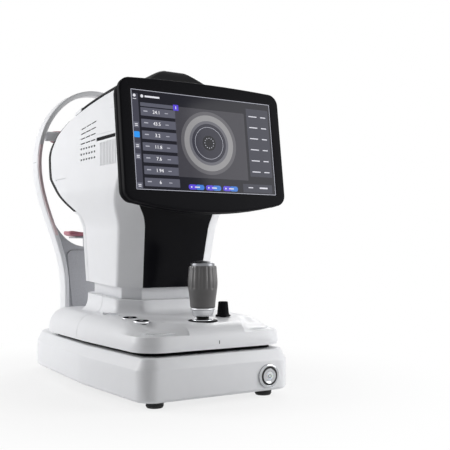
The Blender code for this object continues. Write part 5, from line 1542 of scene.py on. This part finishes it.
class INSTRUMENT_OT_picture(Operator):
    """Lit picture on the monitor: menu, measured values, the eye and its keys"""
    bl_idname = "instrument.picture"
    bl_label = "Picture"
    layer = 0.06 * MM

    def tile(self, x, z, wide, high, level, radius=0.6):
        """Tile of the picture; places and sizes in millimetres on the screen, on a numbered layer."""
        front = SCREEN_SINK - level * self.layer
        return tablet(wide * MM, high * MM, front, front + 0.8 * self.layer, x * MM, z * MM, radius * MM)

    def disc(self, x, z, radius, level, hole=0.0):
        """Round mark, or a ring where a hole is given."""
        front = -SCREEN_SINK + level * self.layer
        low = front - 0.8 * self.layer
        if hole:
            line = [(hole * MM, low), (radius * MM, low), (radius * MM, front), (hole * MM, front)]
        else:
            line = [(0, low), (radius * MM, low), (radius * MM, front), (0, front)]
        return placed(turned(line, 48, bool(hole)), to_operator(x * MM, 0, z * MM))

    def digits(self, text, x, z, high, level):
        """Number as a flat mesh."""
        curve = bpy.data.curves.new("digits", "FONT")
        curve.body = text
        curve.size = high * MM
        curve.align_x = "CENTER"
        curve.align_y = "CENTER"
        curve.resolution_u = 2
        curve.extrude = 0.4 * self.layer
        thing = bpy.data.objects.new("digits", curve)
        bpy.context.scene.collection.objects.link(thing)
        graph = bpy.context.evaluated_depsgraph_get()
        mesh = bpy.data.meshes.new_from_object(thing.evaluated_get(graph))
        bm = bmesh.new()
        bm.from_mesh(mesh)
        bpy.data.objects.remove(thing)
        bpy.data.curves.remove(curve)
        bpy.data.meshes.remove(mesh)
        bmesh.ops.remove_doubles(bm, verts=bm.verts, dist=1e-7)
        return placed(bm, to_operator(x * MM, SCREEN_SINK - level * self.layer, z * MM))

    def show(self, name, shapes, material):
        put(name, placed(merged(shapes), monitor_place()), material, "monitor", (), "screen_glass")

    def execute(self, context):
        base = finishes().screen
        ground = blank("Display lit ground", IOR=1.52, Specular_IOR_Level=0.1, Emission_Strength=0.7, Emission_Color=(*base, 1))
        dress(ground, grain(ground, 30 * MM), scaled(base, 0.2), scaled(base, 0.3), 0.08, 0.14)
        self.show("picture_ground", [self.tile(0, 0, 221, 132, 1)], ground)
        self.make_menu()
        self.make_values()
        self.make_eye()
        self.make_keys()
        return {"FINISHED"}

    def make_menu(self):
        """Column of square signs on the left, the title, and the thin line round the picture."""
        lines = [self.tile(0, 66, 221, 0.7, 4, 0.1), self.tile(0, -66, 221, 0.7, 4, 0.1),
                 self.tile(-110.3, 0, 0.7, 132, 4, 0.1), self.tile(110.3, 0, 0.7, 132, 4, 0.1)]
        self.show("picture_line", lines, lit("Display lit pale line", "B9BAC6"))
        self.show("picture_column", [self.tile(-105.5, -2, 9.6, 126, 2)], lit("Display lit slate", "43434F"))
        pale = [self.disc(-106, 58, 2.0, 4), self.tile(-106, 53.5, 5, 0.8, 4, 0.2), self.disc(-95, 58, 2.1, 4)]
        pale += [self.tile(-80, 58, 22, 2.4, 4)]
        for z in (20, -8, -22, -60):
            pale += [self.tile(-105.5, z, 4.2, 1.0, 4, 0.3), self.tile(-105.5, z - 2.2, 4.2, 1.0, 4, 0.3)]
        self.show("picture_signs", pale, lit("Display lit white", "E4E4EC"))
        plates = [self.tile(-105.5, z - 1, 7.4, 7.4, 3) for z in (20, -8, -22, -60)]
        self.show("picture_plates", plates, lit("Display lit grey", "666774"))
        accent = finishes().accent
        blue = blank("Display lit accent", IOR=1.52, Specular_IOR_Level=0.1, Emission_Strength=0.95, Emission_Color=(*accent, 1))
        dress(blue, grain(blue, 6 * MM), scaled(accent, 0.3), scaled(accent, 0.4), 0.08, 0.14)
        self.show("picture_accent", [self.tile(-105.5, 6, 8, 8, 4, 1.2)], blue)

    def make_values(self):
        """Rows of measured values, each with a short label bar and a number."""
        values = ("24.1", "43.5", "3.2", "11.8", "7.6", "1.94", "6")
        rows = [self.tile(-72, 47, 52, 5, 2)]
        bars = []
        numbers = []
        for k, value in enumerate(values):
            z = 37.5 - 15.6 * k
            rows.append(self.tile(-72, z, 52, 11, 2))
            bars += [self.tile(-91, z + 0.6, 6, 1.4, 3, 0.4), self.tile(-60, z, 5, 1.0, 3, 0.3)]
            numbers.append(self.digits(value, -75, z, 6.6, 3))
        self.show("picture_rows", rows, lit("Display lit row", "5B5C69"))
        self.show("picture_bars", bars, lit("Display lit soft white", "B4B5C0"))
        self.show("picture_numbers", numbers, lit("Display lit number", "F2F2F6", 1.0))

    def make_eye(self):
        """Grey close view of an eye: white of the eye, iris, pupil and the ring of measuring lights."""
        self.show("picture_view", [self.tile(9, 1, 112, 96, 2)], lit("Display lit view", "403F46"))
        self.show("picture_lids", [self.disc(4, 2, 44, 3)], lit("Display lit lids", "5F5E63"))
        self.show("picture_eyeball", [self.disc(4, 2, 39, 4)], lit("Display lit eyeball", "8F8E90"))
        self.show("picture_limbus", [self.disc(4, 2, 31, 5)], lit("Display lit limbus", "64646C"))
        self.show("picture_iris", [self.disc(4, 2, 27, 6)], lit("Display lit iris", "30303C"))
        self.show("picture_pupil", [self.disc(4, 2, 10.5, 7)], lit("Display lit pupil", "101018"))
        lights = []
        for k in range(12):
            angle = 2 * math.pi * k / 12
            lights.append(self.disc(4 + 7 * math.cos(angle), 2 + 7 * math.sin(angle), 0.6, 8))
        lights.append(self.disc(4, 2, 22.4, 7, 22))
        self.show("picture_lights", lights, lit("Display lit light", "C9CAD6"))

    def make_keys(self):
        """Coloured keys at the foot, the tab, and the panels on the right."""
        violet = [self.tile(x - 6, -60, 13, 7, 3, 3.2) for x in (-20.5, 6.4, 34)] + [self.tile(-45, 47, 8, 8, 3)]
        blue = [self.tile(x + 5, -60, 14, 7, 2, 3.2) for x in (-20.5, 6.4, 34)]
        self.show("picture_keys_left", violet, lit("Display lit violet", "5A48D2"))
        self.show("picture_keys_right", blue, lit("Display lit blue", "3F79CE"))
        marks = []
        for x in (-20.5, 6.4, 34):
            marks += [self.disc(x - 8, -60, 1.2, 4), self.tile(x + 1, -60, 8, 1.6, 4, 0.5)]
        marks += [self.tile(-45, 47, 1.2, 4, 4, 0.3)]
        panels = [self.tile(88, 8, 38, 98, 2), self.tile(80, -58, 50, 12, 2)]
        self.show("picture_panels", panels, lit("Display lit panel", "3A3B46"))
        for k in range(6):
            z = 46 - 16 * k
            marks += [self.tile(80, z, 14, 1.4, 3, 0.4), self.tile(98, z, 9, 1.4, 3, 0.4)]
        marks += [self.tile(68, -57, 8, 1.4, 3, 0.4), self.tile(90, -57, 14, 2.2, 3, 0.6)]
        self.show("picture_marks", marks, lit("Display lit mark", "D7D7E0"))


class INSTRUMENT_OT_headrest(Operator):
    """Headrest ring, its soft strips and eye marks, the panel between its legs, and the forehead bar"""
    bl_idname = "instrument.headrest"
    bl_label = "Headrest"

    def execute(self, context):
        self.front = back(REST_Y)
        self.rear = back(REST_Y + REST_DEPTH)
        path = rest_path()
        rows = [band_ring(path, i, 0, -REST_BAND, self.front, self.rear, 2.4 * MM, 5) for i in range(len(path))]
        put("headrest_ring", swept(rows, caps=(True, True)), surface(white_abs), "base", ("headrest_frame",),
            "white_moulding")
        self.make_strips()
        self.make_leg_panel()
        self.make_bar()
        return {"FINISHED"}

    def make_strips(self):
        """Soft strips on the operator's side of the ring, and a short line beside each eye."""
        low = EYE_Z - DISH_DROP + DISH_RISE / 2
        high = EYE_Z + BAR_LIFT - BAR_HEIGHT
        inside = (REST_BAND - TRIM_WIDTH) / 2
        for hand, side in (("left", -1), ("right", 1)):
            line = [Vector((side * rest_half(z), z)) for z in [mix(low, high, k / 40) for k in range(41)]]
            reach = sorted((side * inside, side * (inside + TRIM_WIDTH)))
            rows = [band_ring(line, i, reach[1], reach[0], self.front - SEAT - TRIM_THICK, self.front - SEAT,
                              0.9 * MM, 4) for i in range(len(line))]
            put("soft_strip_" + hand, swept(rows, caps=(True, True)), surface(rose_strip), "base",
                ("headrest_trim_" + hand,), "rose_silicone")
            x = side * REST_HALF
            y = (self.front + self.rear) / 2
            mark = placed(tablet(14 * MM, 1 * MM, -0.08 * MM, 0.8 * MM),
                          Matrix.Translation((x, y, EYE_Z)) @ Matrix.Rotation(math.radians(90 * side), 4, "Z"))
            put("eye_mark_" + hand, mark, surface(dark_grey), "base", (), "dark_grey_moulding")

    def make_leg_panel(self):
        """Dark panel with the dished edge under the face opening, and the raised cover on it."""
        low = BASE_TOP + SEAT
        dish = EYE_Z - DISH_DROP
        meet = dish + DISH_RISE
        sides = [mix(low, meet, k / 24) for k in range(25)]
        width = rest_inner(meet)
        outline = [(-rest_inner(z), z) for z in sides]
        for k in range(1, 40):
            x = -width + 2 * width * k / 40
            outline.append((x, dish + DISH_RISE * abs(x / width) ** 3.2))
        outline += [(rest_inner(z), z) for z in reversed(sides)]
        start = self.front + PANEL_RECESS
        panel = slab([Vector((x, start, z)) for x, z in outline], Vector((0, self.rear - start, 0)))
        piece = put("leg_infill", panel, surface(dark_grey), "base", ("leg_panel",), "dark_grey_moulding")
        soften(piece, 1.2 * MM, 3)
        margin = 5 * MM
        foot = low + 36 * MM
        corners = mirrored([(rest_inner(foot) - margin, foot, 10 * MM),
                            (rest_inner(dish - margin) - margin, dish - margin, 10 * MM)])
        near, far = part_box("chin_drive_cover")
        plate = slab([Vector((p.x, near.y, p.y)) for p in rounded(corners, 8)], Vector((0, far.y - near.y, 0)))
        cover = put("drive_cover", plate, surface(dark_grey), "base", ("chin_drive_cover",), "dark_grey_moulding")
        soften(cover, 0.9 * MM, 3)

    def bar(self, half, start, thick, rise, edge, count=40):
        """Bar that bows away from the patient, with rounded edges."""
        rows = []
        middle = back(REST_Y + REST_DEPTH / 2)
        z = EYE_Z + BAR_LIFT
        for k in range(count + 1):
            x = -half + 2 * half * k / count
            y = middle + BAR_BOW * ((x / half) ** 2 - 1) + start
            section = [(0, -rise, edge), (thick, -rise, edge), (thick, rise, edge), (0, rise, edge)]
            rows.append([Vector((x, y + p.x, z + p.y)) for p in rounded(section, 6)])
        return swept(rows, caps=(True, True))

    def make_bar(self):
        """Forehead bar and its soft pad, whose ends and edges are drawn in."""
        half = rest_inner(EYE_Z + BAR_LIFT + BAR_HEIGHT / 2)
        put("brow_bar", self.bar(half, -BAR_DEPTH / 2, BAR_DEPTH, BAR_HEIGHT / 2, 2.2 * MM), surface(white_abs),
            "base", ("forehead_bar",), "white_moulding")
        wide = half - 8 * MM
        middle = back(REST_Y + REST_DEPTH / 2)
        seat = BAR_DEPTH / 2 + RUN + SEAT
        rows = []
        count = 48
        for k in range(count + 1):
            t = -1 + 2 * k / count
            x = wide * t
            drawn = (1 - abs(t) ** 10) ** 0.5
            y = middle + BAR_BOW * ((x / half) ** 2 - 1) + seat
            points = []
            for i in range(28):
                angle = 2 * math.pi * i / 28
                c = math.cos(angle)
                s = math.sin(angle)
                rise = 11 * MM * math.copysign(abs(s) ** 0.6, s) * mix(0.55, 1, drawn)
                crown = 3 * MM + 3 * MM * math.copysign(abs(c) ** 0.5, c) * max(0.15, drawn)
                points.append(Vector((x, y + crown, EYE_Z + BAR_LIFT + rise)))
            rows.append(points)
        pad = put("brow_pad", swept(rows, caps=(True, True)), surface(rose_silicone), "base", ("forehead_pad",),
                  "rose_silicone", 60)


class INSTRUMENT_OT_chinrest(Operator):
    """Soft chin pad, dished for the chin, with a raised rim"""
    bl_idname = "instrument.chinrest"
    bl_label = "Chinrest"

    def execute(self, context):
        low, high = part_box("chin_pad")
        half = (high.x - low.x) / 2
        depth = high.y - low.y
        thick = high.z - low.z
        rows = []
        count = 44
        for k in range(count + 1):
            t = -1 + 2 * k / count
            drawn = (1 - abs(t) ** 8) ** 0.5
            dip = 5 * MM * (1 - t * t)
            middle = (low.y + high.y) / 2
            reach = depth / 2 * mix(0.6, 1, drawn)
            points = []
            for i in range(40):
                angle = 2 * math.pi * i / 40
                c = math.cos(angle)
                s = math.sin(angle)
                across = math.copysign(abs(c) ** 0.45, c)
                up = 0.5 + 0.5 * math.copysign(abs(s) ** 0.5, s)
                hollow = 2.2 * MM * (1 - across * across) * up
                rise = (thick - dip) * mix(0.5, up, max(0.25, drawn)) - hollow * drawn
                points.append(Vector((half * t, middle + reach * across, low.z + rise)))
            rows.append(points)
        pad = put("chin_cushion", swept(rows, caps=(True, True)), surface(rose_silicone), "chinrest", ("chin_pad",),
                  "rose_silicone", 60)
        return {"FINISHED"}


class INSTRUMENT_OT_studio(Operator):
    """Pale floor, soft lamps and the camera"""
    bl_idname = "instrument.studio"
    bl_label = "Studio"

    def execute(self, context):
        self.make_floor()
        self.make_world()
        settings = context.scene.instrument_studio
        self.lamp("key", settings.key, 1.1, (-1.36, 0.95, 0.85), (0, 0, 0.22))
        self.lamp("fill", settings.fill, 0.6, (0.68, -0.7, 0.45), (0.1, -0.15, 0.12))
        self.lamp("rim", settings.rim, 1.0, (1.2, 1.0, 1.2), (0, 0, 0.2))
        self.make_camera(settings.lens)
        return {"FINISHED"}

    def make_floor(self):
        bm = bmesh.new()
        bmesh.ops.create_grid(bm, x_segments=2, y_segments=2, size=12)
        mesh = bpy.data.meshes.new("studio_floor")
        bm.to_mesh(mesh)
        bm.free()
        floor = bpy.data.objects.new("studio_floor", mesh)
        bpy.context.scene.collection.objects.link(floor)
        base = bpy.context.scene.instrument_studio.floor
        paper = blank("Paper matt pale", IOR=1.4)
        dress(paper, grain(paper, 200 * MM), scaled(base, 0.99), base, 0.88, 0.92)
        self.fade_to_white(paper)
        mesh.materials.append(paper)

    def seen(self, owner):
        """1 for rays that show the surroundings, which are the camera's, a mirror's and a glass's."""
        rays = add_node(owner, "ShaderNodeLightPath").outputs
        eye = add_node(owner, "ShaderNodeMath", {0: rays["Is Camera Ray"], 1: rays["Is Glossy Ray"]}, operation="MAXIMUM")
        either = add_node(owner, "ShaderNodeMath", {0: eye.outputs[0], 1: rays["Is Transmission Ray"]},
                          operation="MAXIMUM")
        return either.outputs[0]

    def fade_to_white(self, paper):
        """Away from the object the floor shows as white; near it the shadow stays."""
        place = add_node(paper, "ShaderNodeTexCoord")
        away = add_node(paper, "ShaderNodeVectorMath", {0: place.outputs["Object"]}, operation="LENGTH")
        share = add_node(paper, "ShaderNodeMapRange", {"Value": away.outputs["Value"], "From Min": 0.1, "From Max": 0.55,
                                                       "To Min": 0.72, "To Max": 1.0}, interpolation_type="SMOOTHSTEP")
        fade = add_node(paper, "ShaderNodeMath", {0: share.outputs["Result"], 1: self.seen(paper)}, operation="MULTIPLY")
        white = add_node(paper, "ShaderNodeEmission", {"Color": (1, 1, 1, 1), "Strength": 1.0})
        shader = paper.node_tree.nodes["Principled BSDF"]
        both = add_node(paper, "ShaderNodeMixShader", {0: fade.outputs[0], 1: shader.outputs[0], 2: white.outputs[0]})
        paper.node_tree.links.new(both.outputs[0], paper.node_tree.nodes["Material Output"].inputs["Surface"])

    def make_world(self):
        """White where it is seen or mirrored, and a low even light otherwise."""
        world = bpy.data.worlds.new("studio")
        world.use_nodes = True
        level = add_node(world, "ShaderNodeMapRange", {"Value": self.seen(world), "To Min": 0.1, "To Max": 1.0})
        backdrop = world.node_tree.nodes["Background"]
        backdrop.inputs["Color"].default_value = (1, 1, 1, 1)
        world.node_tree.links.new(level.outputs["Result"], backdrop.inputs["Strength"])
        bpy.context.scene.world = world

    def lamp(self, name, power, size, place, target):
        light = bpy.data.lights.new(name, "AREA")
        light.energy = power
        light.size = size
        lamp = bpy.data.objects.new(name, light)
        lamp.location = place
        lamp.rotation_euler = (Vector(target) - Vector(place)).to_track_quat("-Z", "Y").to_euler()
        bpy.context.scene.collection.objects.link(lamp)

    def make_camera(self, lens):
        camera = bpy.data.cameras.new("camera")
        camera.lens = lens
        camera.sensor_width = 36
        camera.shift_y = 0.0511
        thing = bpy.data.objects.new("camera", camera)
        thing.location = (-0.5717, -1.1220, 0.206)
        thing.rotation_euler = (math.radians(90), 0, math.radians(-33))
        bpy.context.scene.collection.objects.link(thing)
        bpy.context.scene.camera = thing
        bpy.context.scene.view_settings.view_transform = "Standard"


MAKERS = (INSTRUMENT_OT_studio, INSTRUMENT_OT_solids, INSTRUMENT_OT_base, INSTRUMENT_OT_power, INSTRUMENT_OT_stage,
          INSTRUMENT_OT_joystick, INSTRUMENT_OT_controls, INSTRUMENT_OT_head, INSTRUMENT_OT_optics,
          INSTRUMENT_OT_monitor, INSTRUMENT_OT_picture, INSTRUMENT_OT_headrest, INSTRUMENT_OT_chinrest)


class INSTRUMENT_PT_panel(Panel):
    """Settings of the instrument, and a button for each group of pieces"""
    bl_idname = "INSTRUMENT_PT_panel"
    bl_label = "Instrument"
    bl_space_type = "VIEW_3D"
    bl_region_type = "UI"
    bl_category = "Instrument"

    def draw(self, context):
        for settings in (context.scene.instrument_finishes, context.scene.instrument_shells,
                         context.scene.instrument_controls, context.scene.instrument_studio):
            box = self.layout.box()
            for name in settings.__annotations__:
                box.prop(settings, name)
        for maker in MAKERS:
            self.layout.operator(maker.bl_idname)


SETTINGS = {"instrument_finishes": FinishSettings, "instrument_shells": ShellSettings,
            "instrument_controls": ControlSettings, "instrument_studio": StudioSettings}


def register():
    for name, group in SETTINGS.items():
        bpy.utils.register_class(group)
        setattr(bpy.types.Scene, name, PointerProperty(type=group))
    for maker in MAKERS:
        bpy.utils.register_class(maker)
    bpy.utils.register_class(INSTRUMENT_PT_panel)


def unregister():
    bpy.utils.unregister_class(INSTRUMENT_PT_panel)
    for maker in reversed(MAKERS):
        bpy.utils.unregister_class(maker)
    for name, group in SETTINGS.items():
        delattr(bpy.types.Scene, name)
        bpy.utils.unregister_class(group)


def main():
    register()
    bpy.ops.instrument.studio()
    bpy.ops.instrument.solids()
    bpy.ops.instrument.base()
    bpy.ops.instrument.power()
    bpy.ops.instrument.stage()
    bpy.ops.instrument.joystick()
    bpy.ops.instrument.controls()
    bpy.ops.instrument.head()
    bpy.ops.instrument.optics()
    bpy.ops.instrument.monitor()
    bpy.ops.instrument.picture()
    bpy.ops.instrument.headrest()
    bpy.ops.instrument.chinrest()


if __name__ == "__main__":
    main()
